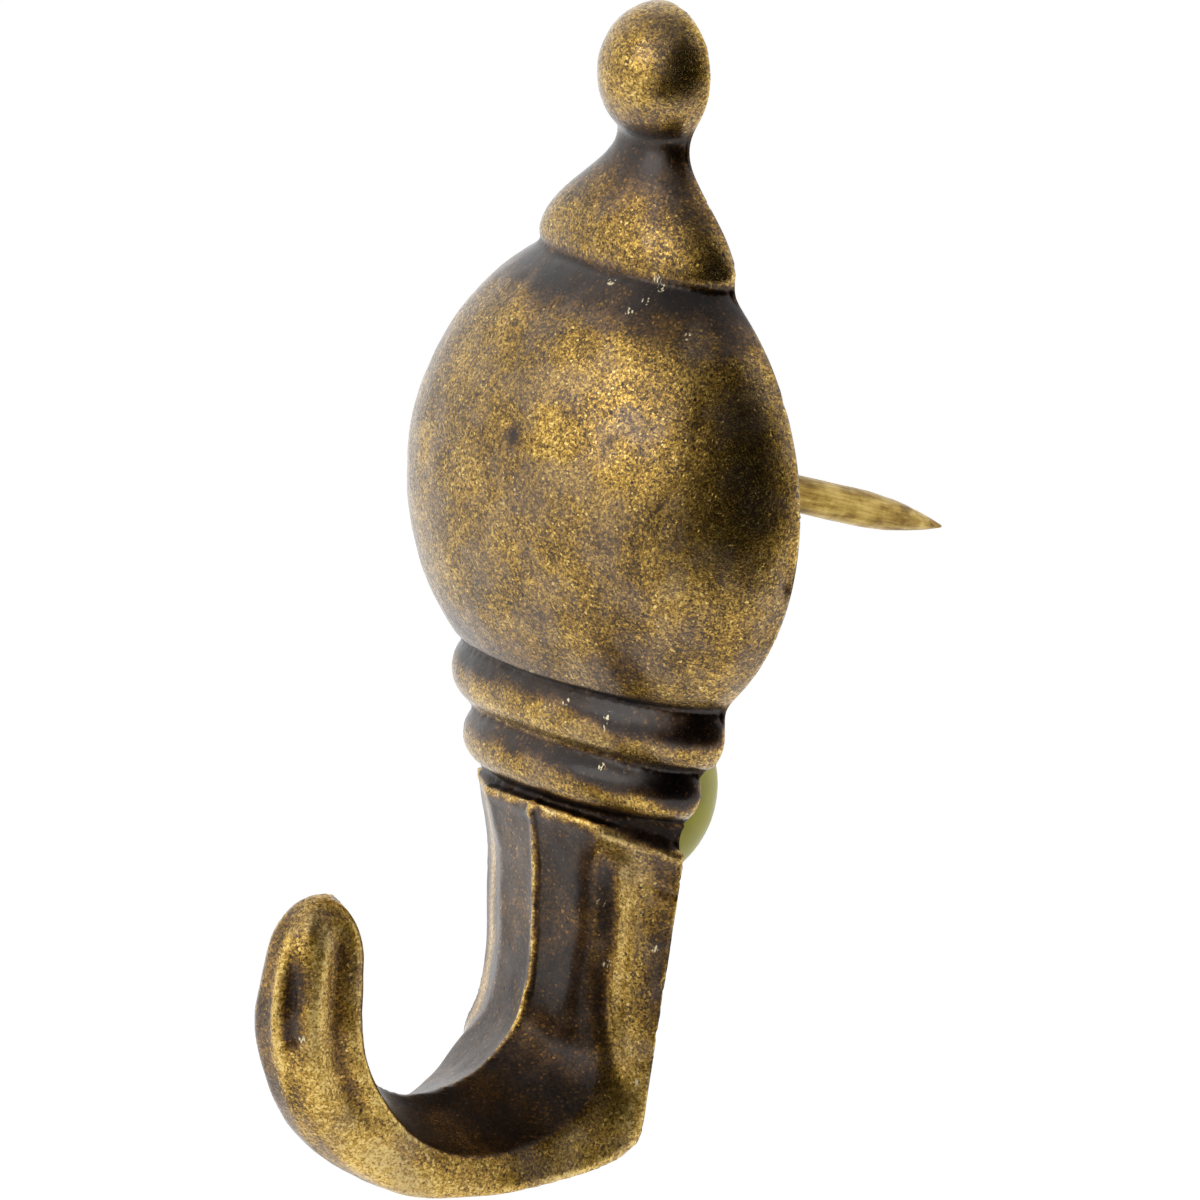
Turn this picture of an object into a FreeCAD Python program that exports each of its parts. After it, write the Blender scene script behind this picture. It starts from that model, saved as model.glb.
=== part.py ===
"""Ornamental picture hook: one cast body, one nail in its back, one soft bumper.

The body is a single casting with a flat back. From the top it has a ball, a slim neck, a bell,
a large egg-shaped dome, two beads and a tapering shank that turns up into a J. Its front is
flattened, so every cross section is half of an ellipse that is wider than it is deep. A low
ridge runs down the middle of the shank and round the inside of the J, where the two halves of
the mould met. The nail is pressed into a blind bore behind the dome and points down into the
wall. The bumper is stuck to the flat back, behind the beads.

The frame: the origin is where the nail's axis leaves the flat back, X is to the right, Y goes
into the wall and Z is up. All lengths are in millimetres and all angles in degrees.
"""
import FreeCAD, Part
import math
import os

Vector = FreeCAD.Vector

# Dome, widest a little below its middle, and the angles from its top where it is cut level
DOME_CENTRE_Z = -1.15
DOME_HALF_WIDTH = 11.15
DOME_HALF_HEIGHT = 11.0
DOME_DEPTH = 6.5
DOME_EGG = 0.05
DOME_DEPTH_POWER = 0.62
DOME_TOP_ANGLE = 32.3
DOME_BOTTOM_ANGLE = 137.8

# Bell on the dome, from its lip up to the neck
BELL_LIP_HEIGHT = 0.6
BELL_LIP_HALF_WIDTH = 5.75
BELL_LIP_DEPTH = 2.75
BELL_LIP_TUCK = 0.4
BELL_HEIGHT = 5.0
BELL_FLARE = 1.6
NECK_HALF_WIDTH = 2.0
NECK_DEPTH = 1.2

# Ball on the neck
BALL_RISE = 2.95
BALL_HALF_WIDTH = 3.0
BALL_HALF_HEIGHT = 3.1
BALL_DEPTH = 2.55

# Two beads under the dome, and the groove each of them ends in
BEAD_1_HEIGHT = 2.85
BEAD_1_HALF_WIDTH = 8.05
BEAD_1_DEPTH = 3.7
BEAD_2_HEIGHT = 2.45
BEAD_2_HALF_WIDTH = 6.95
BEAD_2_DEPTH = 3.6
GROOVE_CUT = 0.95

# Cove under the beads, drawn in until it is lost inside the shank
COVE_HEIGHT = 0.8
COVE_SUNK = 1.0
COVE_DRAW = 1.15

# Shank, a trapezium in section with a crowned front and a flat back
SHANK_LENGTH = 13.9
SHANK_TOP_SLOPE = 0.5
SHANK_TOP_HALF_WIDTH = 6.35
SHANK_TOP_DEPTH = 3.3
SHANK_TOP_FLARE = 0.5
SHANK_LEDGE = 2.0
SHANK_LEDGE_DEPTH = 2.7
SHANK_FRONT_HALF_WIDTH = 3.1
SHANK_DEPTH = 2.35
SHANK_CROWN = 0.65
SHANK_ROUNDING = 0.5
HEEL_HALF_WIDTH = 5.5

# Bowl of the hook, from the shank's ridge to the ridge inside the tip
BOWL_FLOOR_RISE = 1.95
BOWL_BOTTOM_Y = -8.2
BOWL_BACK_RUN = 5.85
BOWL_BACK_RISE = 4.0
BOWL_TIP_RUN = 5.0
BOWL_TIP_RISE = 4.6
BOWL_CROWN = 2.1
BOWL_THICKNESS = 3.85
BOWL_FRONT_HALF_WIDTH = 4.3

# Tip of the hook, a rounded finger that stands up
TIP_HEIGHT = 9.35
TIP_HALF_WIDTH = 2.4
TIP_OUTER_HALF_WIDTH = 1.25
TIP_TAPER = 0.24
TIP_THICKNESS = 3.8
TIP_CROWN = 0.8
TIP_EDGE_ROUNDING = 2.4
TIP_ROUNDING = 3.0

# Where the section changes, as turns round the bowl from 0 at the shank to 180 at the tip
HEEL_TURN = 45
BOWL_TURNS = (4, 25, 45, 64, 90, 117, 144, 176)
BACK_FALL = (40, 145)
FRONT_RISE = (0, 45)
FRONT_FALL = (45, 180)
CROWN_RISE = (-10, 45)
CROWN_FALL = (75, 170)
ROUNDING_RISE = (0, 170)
TIP_END_TURNS = (22, 42, 60, 75, 90)

# Nail, with a thicker root that its blind bore grips, and the spot face it starts from
NAIL_RADIUS = 0.8
NAIL_DOWN_ANGLE = 13.6
NAIL_OUT_LENGTH = 20.3
NAIL_STRAIGHT_LENGTH = 14.6
NAIL_POINT_RADIUS = 0.06
NAIL_ROOT_RADIUS = 1.0
NAIL_ROOT_LENGTH = 4.2
BORE_CLEARANCE = 0.0
BORE_END_GAP = 0.3
SPOT_FACE_MARGIN = 0.5
SPOT_FACE_REACH = 2.0

# Soft bumper on the back, under the nail by this drop
BUMPER_DROP = 14.6
BUMPER_RADIUS = 4.5
BUMPER_WALL_HEIGHT = 1.6
BUMPER_HEIGHT = 6.0

# Stock behind the back plane, and the room of the block that cuts it away
BACK_STOCK = 0.3
CUT_ROOM = 40.0

# Heights where one form ends and the next begins
DOME_TOP_Z = DOME_CENTRE_Z + DOME_HALF_HEIGHT * math.cos(math.radians(DOME_TOP_ANGLE))
DOME_BOTTOM_Z = DOME_CENTRE_Z + DOME_HALF_HEIGHT * math.cos(math.radians(DOME_BOTTOM_ANGLE))
BELL_LIP_Z = DOME_TOP_Z + BELL_LIP_HEIGHT
NECK_Z = BELL_LIP_Z + BELL_HEIGHT
BALL_CENTRE_Z = NECK_Z + BALL_RISE
BEAD_1_BOTTOM_Z = DOME_BOTTOM_Z - BEAD_1_HEIGHT
BEAD_2_BOTTOM_Z = BEAD_1_BOTTOM_Z - BEAD_2_HEIGHT
SHANK_TOP_Z = BEAD_2_BOTTOM_Z - COVE_HEIGHT
HEEL_Z = SHANK_TOP_Z - SHANK_LENGTH
BOWL_BOTTOM_Z = HEEL_Z + BOWL_FLOOR_RISE


def quarter_turns(points):
    """One smooth edge of quarter ellipses, through ends and corners given in turn."""
    quarters = len(points) // 2
    weights = [1 if index % 2 == 0 else math.sqrt(0.5) for index in range(len(points))]
    multiplicities = [3] + [2] * (quarters - 1) + [3]
    curve = Part.BSplineCurve()
    curve.buildFromPolesMultsKnots(
        points, multiplicities, list(range(quarters + 1)), False, 2, weights)
    return curve.toShape()


def half_section(height, half_width, depth):
    """A level half ellipse in front of the back plane, run a little way past that plane."""
    left = Vector(-half_width, 0, height)
    right = Vector(half_width, 0, height)
    front = Vector(0, -depth, height)
    forward = Vector(0, -depth, 0)
    back = Vector(0, BACK_STOCK, 0)
    edges = [
        quarter_turns([left, left + forward, front, right + forward, right]),
        Part.makeLine(right, right + back),
        Part.makeLine(right + back, left + back),
        Part.makeLine(left + back, left),
    ]
    return Part.Wire(edges)


def flattened_turning(stations):
    """A solid through level half ellipses, given as height, half width and depth."""
    return Part.makeLoft([half_section(*station) for station in stations], True, False)


def ellipsoid(centre, half_width, depth, half_height):
    """A ball stretched to three half sizes, with its poles at the front and the back."""
    matrix = FreeCAD.Matrix()
    matrix.scale(Vector(half_width, depth, half_height))
    matrix.move(centre)
    ball = Part.makeSphere(1.0, Vector(0, 0, 0), Vector(0, 1, 0))
    return ball.transformGeometry(matrix)


def make_ball():
    """The ball on top, with its lower end inside the neck."""
    centre = Vector(0, 0, BALL_CENTRE_Z)
    return ellipsoid(centre, BALL_HALF_WIDTH, BALL_DEPTH, BALL_HALF_HEIGHT)


def make_bell():
    """The neck that flares into the bell, and the bell's rounded lip."""
    neck_top = NECK_Z + BALL_RISE / 2
    neck_spread = 0.2
    stations = [(neck_top, NECK_HALF_WIDTH + neck_spread, NECK_DEPTH + neck_spread / 2)]
    flare_steps = 6
    for step in range(flare_steps + 1):
        share = step / flare_steps
        height = NECK_Z + (BELL_LIP_Z - NECK_Z) * share
        spread = math.sin(share * math.pi / 2) ** BELL_FLARE
        half_width = NECK_HALF_WIDTH + (BELL_LIP_HALF_WIDTH - NECK_HALF_WIDTH) * spread
        depth = NECK_DEPTH + (BELL_LIP_DEPTH - NECK_DEPTH) * spread
        stations.append((height, half_width, depth))
    stations.append(
        (DOME_TOP_Z, BELL_LIP_HALF_WIDTH - BELL_LIP_TUCK, BELL_LIP_DEPTH - BELL_LIP_TUCK / 2))
    return flattened_turning(stations)


def make_dome():
    """The egg-shaped dome, cut level where the bell and the first bead meet it."""
    stations = []
    dome_steps = 16
    for step in range(dome_steps + 1):
        share = step / dome_steps
        angle = math.radians(DOME_TOP_ANGLE + (DOME_BOTTOM_ANGLE - DOME_TOP_ANGLE) * share)
        rise = math.cos(angle)
        height = DOME_CENTRE_Z + DOME_HALF_HEIGHT * rise
        half_width = DOME_HALF_WIDTH * math.sin(angle) * (1 - DOME_EGG * rise)
        depth = DOME_DEPTH * (1 - rise * rise) ** DOME_DEPTH_POWER
        stations.append((height, half_width, depth))
    return flattened_turning(stations)


def make_bead(top, bottom, half_width, depth):
    """One bead, widest at its middle and drawn in by the groove cut at both ends."""
    stations = []
    bead_steps = 8
    for step in range(bead_steps + 1):
        share = step / bead_steps
        height = top + (bottom - top) * share
        drawn_in = GROOVE_CUT * (1 - math.sin(share * math.pi) ** 0.5)
        stations.append((height, half_width - drawn_in, depth - drawn_in))
    return flattened_turning(stations)


def make_cove():
    """The short cove between the second bead's groove and the inside of the shank's top."""
    stations = []
    cove_steps = 3
    for step in range(cove_steps + 1):
        share = step / cove_steps
        height = BEAD_2_BOTTOM_Z - (COVE_HEIGHT + COVE_SUNK) * share
        drawn_in = GROOVE_CUT + COVE_DRAW * share ** 1.4
        stations.append((height, BEAD_2_HALF_WIDTH - drawn_in, BEAD_2_DEPTH - drawn_in))
    return flattened_turning(stations)


def fall(turn, span):
    """One before the span of turns, nothing after it, and half a cosine wave between."""
    start, end = span
    share = min(max((turn - start) / (end - start), 0), 1)
    return (1 + math.cos(share * math.pi)) / 2


def in_middle(y, z):
    """A point of the middle plane."""
    return Vector(0, y, z)


def ridge_point(turn):
    """A point of the ridge inside the bowl, two quarter ellipses that meet at its floor."""
    run, rise = (BOWL_BACK_RUN, BOWL_BACK_RISE) if turn < 90 else (BOWL_TIP_RUN, BOWL_TIP_RISE)
    angle = math.radians(turn)
    y = BOWL_BOTTOM_Y + run * math.cos(angle)
    z = BOWL_BOTTOM_Z + rise * (1 - math.sin(angle))
    return in_middle(y, z)


def outer_point(turn):
    """A point of the outer line: down the back, forward from the heel, then up round the tip."""
    angle = math.radians(turn)
    if turn <= HEEL_TURN:
        share = turn / HEEL_TURN
        top = BOWL_BOTTOM_Z + BOWL_BACK_RISE
        heel_rounding = 0.3
        return in_middle(BACK_STOCK * (1 - share ** 4), top + (HEEL_Z + heel_rounding - top) * share)
    if turn < 90:
        share = (turn - HEEL_TURN) / (90 - HEEL_TURN)
        drop = HEEL_Z - (BOWL_BOTTOM_Z - BOWL_THICKNESS)
        return in_middle(BOWL_BOTTOM_Y * share, HEEL_Z - drop * math.sin(share * math.pi / 2))
    y = BOWL_BOTTOM_Y + (BOWL_TIP_RUN + TIP_THICKNESS) * math.cos(angle)
    z = BOWL_BOTTOM_Z + BOWL_TIP_RISE - (BOWL_TIP_RISE + BOWL_THICKNESS) * math.sin(angle)
    return in_middle(y, z)


def spoke(outer, inner, outer_half_width, inner_half_width, crown, rounding):
    """The right half of one cross section of the J, as the poles of a smooth curve.

    Outer and inner are points of the middle plane. The section is flat at the outer point,
    slopes in to the inner half width, and rises by the crown to a ridge at the inner point.
    The outer half width is measured at the back plane: stock behind it carries on the slope.
    """
    thickness = (inner - outer).Length
    along = (inner - outer).normalize()
    stock = max(outer.y, 0)
    slope_in = (outer_half_width - inner_half_width) / (thickness - crown - stock)
    corner = Vector(outer_half_width + slope_in * stock, 0, 0)
    edge = Vector(inner_half_width, thickness - crown, 0)
    ridge = Vector(0, thickness, 0)
    side = (edge - corner).normalize()
    slope = (ridge - edge).normalize()
    least_flat = 0.3 * corner.x
    most_turn = 0.42 * (edge - corner).Length
    flat = Vector(max(corner.x - rounding, least_flat), 0, 0)
    corner_turn = min(rounding, most_turn)
    edge_turn = min(0.6 * rounding, most_turn)
    poles = [
        Vector(0, 0, 0),
        flat,
        corner,
        corner + side * corner_turn,
        edge - side * edge_turn,
        edge,
        edge + slope * edge_turn,
        ridge,
    ]
    return [outer + Vector(pole.x, 0, 0) + along * pole.y for pole in poles]


def shank_back_width(z):
    """Half the width of the shank's flat back, which tapers evenly from its top to the heel."""
    narrowing = SHANK_TOP_HALF_WIDTH - HEEL_HALF_WIDTH
    return SHANK_TOP_HALF_WIDTH - narrowing * (SHANK_TOP_Z - z) / SHANK_LENGTH


def shank_sections():
    """The sections of the shank: its flared top edge, the ledge under that, and its middle."""
    middle_z = (SHANK_TOP_Z + BOWL_BOTTOM_Z + BOWL_BACK_RISE) / 2
    ledge_z = SHANK_TOP_Z - SHANK_LEDGE
    top = spoke(
        in_middle(BACK_STOCK, SHANK_TOP_Z - SHANK_TOP_SLOPE),
        in_middle(-SHANK_TOP_DEPTH, SHANK_TOP_Z + SHANK_TOP_SLOPE),
        SHANK_TOP_HALF_WIDTH, SHANK_FRONT_HALF_WIDTH + SHANK_TOP_FLARE, SHANK_CROWN, SHANK_ROUNDING)
    ledge = spoke(
        in_middle(BACK_STOCK, ledge_z), in_middle(-SHANK_LEDGE_DEPTH, ledge_z),
        shank_back_width(ledge_z), SHANK_FRONT_HALF_WIDTH, SHANK_CROWN, SHANK_ROUNDING)
    middle = spoke(
        in_middle(BACK_STOCK, middle_z), in_middle(-SHANK_DEPTH, middle_z),
        shank_back_width(middle_z), SHANK_FRONT_HALF_WIDTH, SHANK_CROWN, SHANK_ROUNDING)
    return [top, ledge, middle]


def bowl_section(turn):
    """One section of the bowl, whose sizes pass smoothly from the shank's to the tip's."""
    outer = outer_point(turn)
    if turn <= HEEL_TURN:
        back = shank_back_width(outer.z)
    else:
        back = TIP_OUTER_HALF_WIDTH + (HEEL_HALF_WIDTH - TIP_OUTER_HALF_WIDTH) * fall(turn, BACK_FALL)
    front_gain = BOWL_FRONT_HALF_WIDTH - SHANK_FRONT_HALF_WIDTH
    front_loss = BOWL_FRONT_HALF_WIDTH - TIP_HALF_WIDTH
    front = (BOWL_FRONT_HALF_WIDTH - front_gain * fall(turn, FRONT_RISE)
             - front_loss * (1 - fall(turn, FRONT_FALL)))
    crown = (BOWL_CROWN - (BOWL_CROWN - SHANK_CROWN) * fall(turn, CROWN_RISE)
             - (BOWL_CROWN - TIP_CROWN) * (1 - fall(turn, CROWN_FALL)))
    rounding = TIP_EDGE_ROUNDING - (TIP_EDGE_ROUNDING - SHANK_ROUNDING) * fall(turn, ROUNDING_RISE)
    return spoke(outer, ridge_point(turn), back, front, crown, rounding)


def section_about(poles, middle, size):
    """A section drawn in towards its own middle line, and moved to another height."""
    moved = []
    for pole in poles:
        moved.append(Vector(pole.x * size, middle.y + (pole.y - middle.y) * size, middle.z))
    return moved


def tip_sections():
    """The last full section of the tip, and the smaller and smaller ones that round its end."""
    base_z = BOWL_BOTTOM_Z + TIP_HEIGHT - TIP_ROUNDING
    inner_y = BOWL_BOTTOM_Y - BOWL_TIP_RUN
    outer_y = inner_y - TIP_THICKNESS
    base = spoke(
        in_middle(outer_y, base_z), in_middle(inner_y, base_z),
        TIP_OUTER_HALF_WIDTH, TIP_HALF_WIDTH - TIP_TAPER, TIP_CROWN, TIP_EDGE_ROUNDING)
    sections = [base]
    for turn in TIP_END_TURNS:
        angle = math.radians(turn)
        middle = in_middle((outer_y + inner_y) / 2, base_z + TIP_ROUNDING * math.sin(angle))
        sections.append(section_about(base, middle, math.cos(angle)))
    return sections


def knots_of(poles):
    """Knots and their multiplicities for an open curve of degree two through these poles."""
    spans = len(poles) - 2
    return tuple(range(spans + 1)), (3,) + (1,) * (spans - 1) + (3,)


def skin(sections, sign):
    """A smooth face through sections that have as many poles each, on one side of the middle."""
    sides = [[Vector(sign * pole.x, pole.y, pole.z) for pole in poles] for poles in sections]
    places = [0.0]
    for low, high in zip(sides, sides[1:]):
        steps = [(b - a).Length for a, b in zip(low, high)]
        places.append(places[-1] + sum(steps) / len(steps))
    rows = []
    for index in range(len(sides[0])):
        curve = Part.BSplineCurve()
        curve.interpolate(Points=[poles[index] for poles in sides], Parameters=places)
        rows.append(curve.getPoles())
    knots, multiplicities = knots_of(sides[0])
    surface = Part.BSplineSurface()
    surface.buildFromPolesMultsKnots(
        rows, multiplicities, curve.getMultiplicities(), knots, curve.getKnots(),
        False, False, 2, curve.Degree)
    return surface.toShape()


def end_face(poles):
    """The flat face that closes the first section, both halves of it."""
    knots, multiplicities = knots_of(poles)
    halves = []
    for sign in (1, -1):
        placed = [Vector(sign * pole.x, pole.y, pole.z) for pole in poles]
        curve = Part.BSplineCurve()
        curve.buildFromPolesMultsKnots(placed, multiplicities, knots, False, 2)
        halves.append(curve.toShape())
    return Part.Face(Part.Wire(halves))


def make_shank_and_hook():
    """The shank, its heel, the bowl and the tip, as one skin over all the sections."""
    sections = shank_sections() + [bowl_section(turn) for turn in BOWL_TURNS] + tip_sections()
    faces = [skin(sections, 1), skin(sections, -1), end_face(sections[0])]
    shell = Part.Compound(faces)
    shell.sewShape()
    solid = Part.Solid(shell.Shells[0])
    if solid.Volume < 0:
        solid.reverse()
    return solid


def nail_direction():
    """The way the nail points, into the wall and down."""
    angle = math.radians(NAIL_DOWN_ANGLE)
    return Vector(0, math.cos(angle), -math.sin(angle))


def turned(profile, base, direction):
    """A solid turned from edges in radius and distance, set at a base point and a direction."""
    face = Part.Face(Part.Wire(profile))
    solid = face.revolve(Vector(0, 0, 0), Vector(0, 0, 1), 360)
    solid.Placement = FreeCAD.Placement(base, FreeCAD.Rotation(Vector(0, 0, 1), direction))
    return solid


def lines_through(points):
    """Straight edges from each point to the next."""
    return [Part.makeLine(start, end) for start, end in zip(points, points[1:])]


def make_nail():
    """A round nail: a thicker root in the bore, a straight wire, and a long tapering point."""
    point_length = NAIL_OUT_LENGTH - NAIL_STRAIGHT_LENGTH
    narrowing = NAIL_RADIUS - NAIL_POINT_RADIUS
    arc_radius = (point_length ** 2 + narrowing ** 2) / (2 * narrowing)
    half_turn = math.asin(point_length / arc_radius) / 2
    shoulder = Vector(NAIL_RADIUS, 0, NAIL_STRAIGHT_LENGTH)
    arc_middle = shoulder + Vector(
        -arc_radius * (1 - math.cos(half_turn)), 0, arc_radius * math.sin(half_turn))
    end = Vector(NAIL_POINT_RADIUS, 0, NAIL_OUT_LENGTH)
    centre_back = Vector(0, 0, -NAIL_ROOT_LENGTH)
    centre_tip = Vector(0, 0, NAIL_OUT_LENGTH)
    profile = lines_through([
        centre_tip,
        centre_back,
        Vector(NAIL_ROOT_RADIUS, 0, -NAIL_ROOT_LENGTH),
        Vector(NAIL_ROOT_RADIUS, 0, 0),
        Vector(NAIL_RADIUS, 0, 0),
        shoulder,
    ])
    profile.append(Part.Arc(shoulder, arc_middle, end).toShape())
    profile.append(Part.makeLine(end, centre_tip))
    return turned(profile, Vector(0, 0, 0), nail_direction())


def make_bore():
    """The blind bore for the nail's root, opening into a spot face square to the nail."""
    radius = NAIL_ROOT_RADIUS + BORE_CLEARANCE
    spot_radius = radius + SPOT_FACE_MARGIN
    low = -NAIL_ROOT_LENGTH - BORE_END_GAP
    corners = [
        Vector(0, 0, SPOT_FACE_REACH),
        Vector(0, 0, low),
        Vector(radius, 0, low),
        Vector(radius, 0, 0),
        Vector(spot_radius, 0, 0),
        Vector(spot_radius, 0, SPOT_FACE_REACH),
    ]
    return turned(lines_through(corners + corners[:1]), Vector(0, 0, 0), nail_direction())


def make_body():
    """The whole casting, flat at the back, with the bore for the nail."""
    forms = [
        make_ball(),
        make_bell(),
        make_dome(),
        make_bead(DOME_BOTTOM_Z, BEAD_1_BOTTOM_Z, BEAD_1_HALF_WIDTH, BEAD_1_DEPTH),
        make_bead(BEAD_1_BOTTOM_Z, BEAD_2_BOTTOM_Z, BEAD_2_HALF_WIDTH, BEAD_2_DEPTH),
        make_cove(),
        make_shank_and_hook(),
    ]
    behind = Part.makeBox(2 * CUT_ROOM, CUT_ROOM, 2 * CUT_ROOM, Vector(-CUT_ROOM, 0, -CUT_ROOM))
    halves = [form.cut(behind) for form in forms]
    body = halves[0].fuse(halves[1:]).removeSplitter()
    return body.cut(make_bore()).Solids[0]


def make_bumper():
    """The soft bumper: a short round wall and a domed end, stuck to the flat back."""
    foot = Vector(BUMPER_RADIUS, 0, 0)
    wall_end = Vector(BUMPER_RADIUS, 0, BUMPER_WALL_HEIGHT)
    top = Vector(0, 0, BUMPER_HEIGHT)
    profile = lines_through([top, Vector(0, 0, 0), foot, wall_end])
    profile.append(quarter_turns([wall_end, Vector(BUMPER_RADIUS, 0, BUMPER_HEIGHT), top]))
    return turned(profile, Vector(0, 0, -BUMPER_DROP), Vector(0, 1, 0))


os.makedirs("parts", exist_ok=True)
pieces = {
    "hook_body": make_body(),
    "nail_pin": make_nail(),
    "wall_bumper": make_bumper(),
}
for name, shape in pieces.items():
    box = shape.BoundBox
    print(name, "valid", shape.isValid(), "solids", len(shape.Solids), "volume", round(shape.Volume, 2))
    print("   low", [round(v, 2) for v in (box.XMin, box.YMin, box.ZMin)],
          "high", [round(v, 2) for v in (box.XMax, box.YMax, box.ZMax)])
    shape.exportStep("parts/" + name + ".step")
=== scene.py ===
# %% [markdown]
# # A cast picture hook
#
# The object is a small ornamental hook, 51 mm tall: one brass-coloured casting with a flat back,
# a wire nail that stands out of that back, and a soft bumper that keeps its foot off the wall.
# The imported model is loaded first. It is the fixed frame: its sizes and places are not changed
# here, only its looks. All lengths below are in millimetres until a mesh is written.

# %% Load the frame
import math

import bmesh
import bpy
import numpy as np
from mathutils import Matrix, Vector


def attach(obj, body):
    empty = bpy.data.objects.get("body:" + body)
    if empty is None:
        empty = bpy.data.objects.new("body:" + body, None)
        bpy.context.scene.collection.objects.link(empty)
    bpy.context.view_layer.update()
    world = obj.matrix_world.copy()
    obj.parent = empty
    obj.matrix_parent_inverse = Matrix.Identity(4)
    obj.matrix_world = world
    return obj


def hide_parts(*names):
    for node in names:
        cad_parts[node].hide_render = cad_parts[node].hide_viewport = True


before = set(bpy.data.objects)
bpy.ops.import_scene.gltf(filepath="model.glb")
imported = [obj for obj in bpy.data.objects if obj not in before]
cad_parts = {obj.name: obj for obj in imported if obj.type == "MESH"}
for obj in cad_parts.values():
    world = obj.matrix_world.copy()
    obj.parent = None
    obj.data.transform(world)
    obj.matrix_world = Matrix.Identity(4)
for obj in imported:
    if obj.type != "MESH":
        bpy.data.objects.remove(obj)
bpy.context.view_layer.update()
MM = 0.001
print("frame nodes:", sorted(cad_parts))

# %% [markdown]
# ## Camera
#
# The photograph looks at the hook from 45 degrees to its right and a little above, with a slight
# roll. A camera that is far away with a long lens keeps parallel edges parallel, as they are there.

# %% Camera
VIEW_RIGHT = np.array([0.6867, 0.7196, 0.1028])
VIEW_UP = np.array([-0.2298, 0.0807, 0.9698])
VIEW_BACK = np.cross(VIEW_RIGHT, VIEW_UP)
VIEW_DISTANCE = 1500.0
FRAME_PIXELS = 1200
PIXELS_PER_MM = 23.5
ORIGIN_PIXEL = np.array([621.1, 453.8])

camera_data = bpy.data.cameras.new("camera")
camera = bpy.data.objects.new("camera", camera_data)
bpy.context.scene.collection.objects.link(camera)
camera_data.sensor_width = 36.0
camera_data.lens = camera_data.sensor_width * VIEW_DISTANCE / (FRAME_PIXELS / PIXELS_PER_MM)
offset = (ORIGIN_PIXEL - FRAME_PIXELS / 2) / PIXELS_PER_MM
place = VIEW_BACK * VIEW_DISTANCE - VIEW_RIGHT * offset[0] + VIEW_UP * offset[1]
camera.matrix_world = Matrix(
    [[*row, spot * MM] for row, spot in zip(np.array([VIEW_RIGHT, VIEW_UP, VIEW_BACK]).T, place)]
    + [[0, 0, 0, 1]])
camera_data.clip_start = 0.01
camera_data.clip_end = 20.0
bpy.context.scene.camera = camera
print("camera lens", round(camera_data.lens, 1), "mm")

# %% [markdown]
# ## Small helpers for surfaces
#
# Every new piece is a grid of points: rings of points, one ring after another. `shell_mesh` joins
# neighbouring rings with four-sided faces and closes both ends, so that each piece is watertight.

# %% Rings to a closed mesh
def shell_mesh(name, rings):
    """Closed mesh of rings (count, points, 3): quads between rings, a fan onto each end's middle."""
    count, around = rings.shape[:2]
    ends = rings[[0, -1]].mean(axis=1)
    points = np.vstack([rings.reshape(-1, 3), ends])
    index = np.arange(count * around).reshape(count, around)
    ahead = np.roll(index, -1, axis=1)
    quads = np.stack([index[:-1], ahead[:-1], ahead[1:], index[1:]], axis=-1).reshape(-1, 4)
    low, high = count * around, count * around + 1
    fan_low = np.stack([ahead[0], index[0], np.full(around, low)], axis=-1)
    fan_high = np.stack([index[-1], ahead[-1], np.full(around, high)], axis=-1)
    mesh = bpy.data.meshes.new(name)
    mesh.from_pydata(points * MM, [], quads.tolist() + fan_low.tolist() + fan_high.tolist())
    mesh.validate()
    return mesh


def add_object(name, mesh):
    """A mesh as an object at the origin of the scene, unturned and unscaled."""
    thing = bpy.data.objects.new(name, mesh)
    bpy.context.scene.collection.objects.link(thing)
    return thing


def outward(mesh):
    """Turns every face of a closed mesh to point out, by the sign of its volume."""
    mesh.calc_loop_triangles()
    corner = np.zeros(len(mesh.loop_triangles) * 3, np.int32)
    mesh.loop_triangles.foreach_get("vertices", corner)
    spots = read_points(mesh)[corner.reshape(-1, 3)]
    volume = np.einsum("ij,ij->i", spots[:, 0], np.cross(spots[:, 1], spots[:, 2])).sum()
    if volume < 0:
        mesh.flip_normals()
    return mesh


def read_points(mesh):
    """All points of a mesh as an array, in millimetres."""
    flat = np.zeros(len(mesh.vertices) * 3, np.float32)
    mesh.vertices.foreach_get("co", flat)
    return flat.reshape(-1, 3).astype(float) / MM


def write_points(mesh, points):
    """Puts an array of points in millimetres back into the mesh."""
    mesh.vertices.foreach_set("co", (points * MM).astype(np.float32).ravel())
    mesh.update()


def smooth_step(value, low, high):
    """Nought below low, one above high, and a soft S between them."""
    share = np.clip((value - low) / (high - low), 0, 1)
    return share * share * (3 - 2 * share)


def bump_at(value, middle, width):
    """A soft hill: one at the middle, falling as a bell curve of that width."""
    return np.exp(-((value - middle) / width) ** 2)


def closed_mesh(name, rings):
    """The rings as a closed mesh whose faces point out."""
    return outward(shell_mesh(name, rings))

# %% [markdown]
# ## The upper forms
#
# Ball, neck, bell, dome, beads and cove share one rule on the real casting: seen level from
# above, each is half an ellipse that is wider than it is deep, with its flat on the wall side.
# So one function makes them all from three lists: height, half width and depth.

# %% Level half ellipses
BACK_STOCK = 0.5


def half_round_rings(heights, half_widths, depths, front_points=120, back_points=24):
    """Rings (x, y, z) = (w sin a, -d cos a, h) for a from -90 to 90 degrees, closed behind the back."""
    angle = np.linspace(-math.pi / 2, math.pi / 2, front_points)
    x = half_widths[:, None] * np.sin(angle)
    y = -depths[:, None] * np.cos(angle)
    back = half_widths[:, None] * np.linspace(1, -1, back_points)
    x = np.hstack([x, back])
    y = np.hstack([y, np.full_like(back, BACK_STOCK)])
    z = np.broadcast_to(heights[:, None], x.shape)
    return np.stack([x, y, z], axis=-1)


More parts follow.
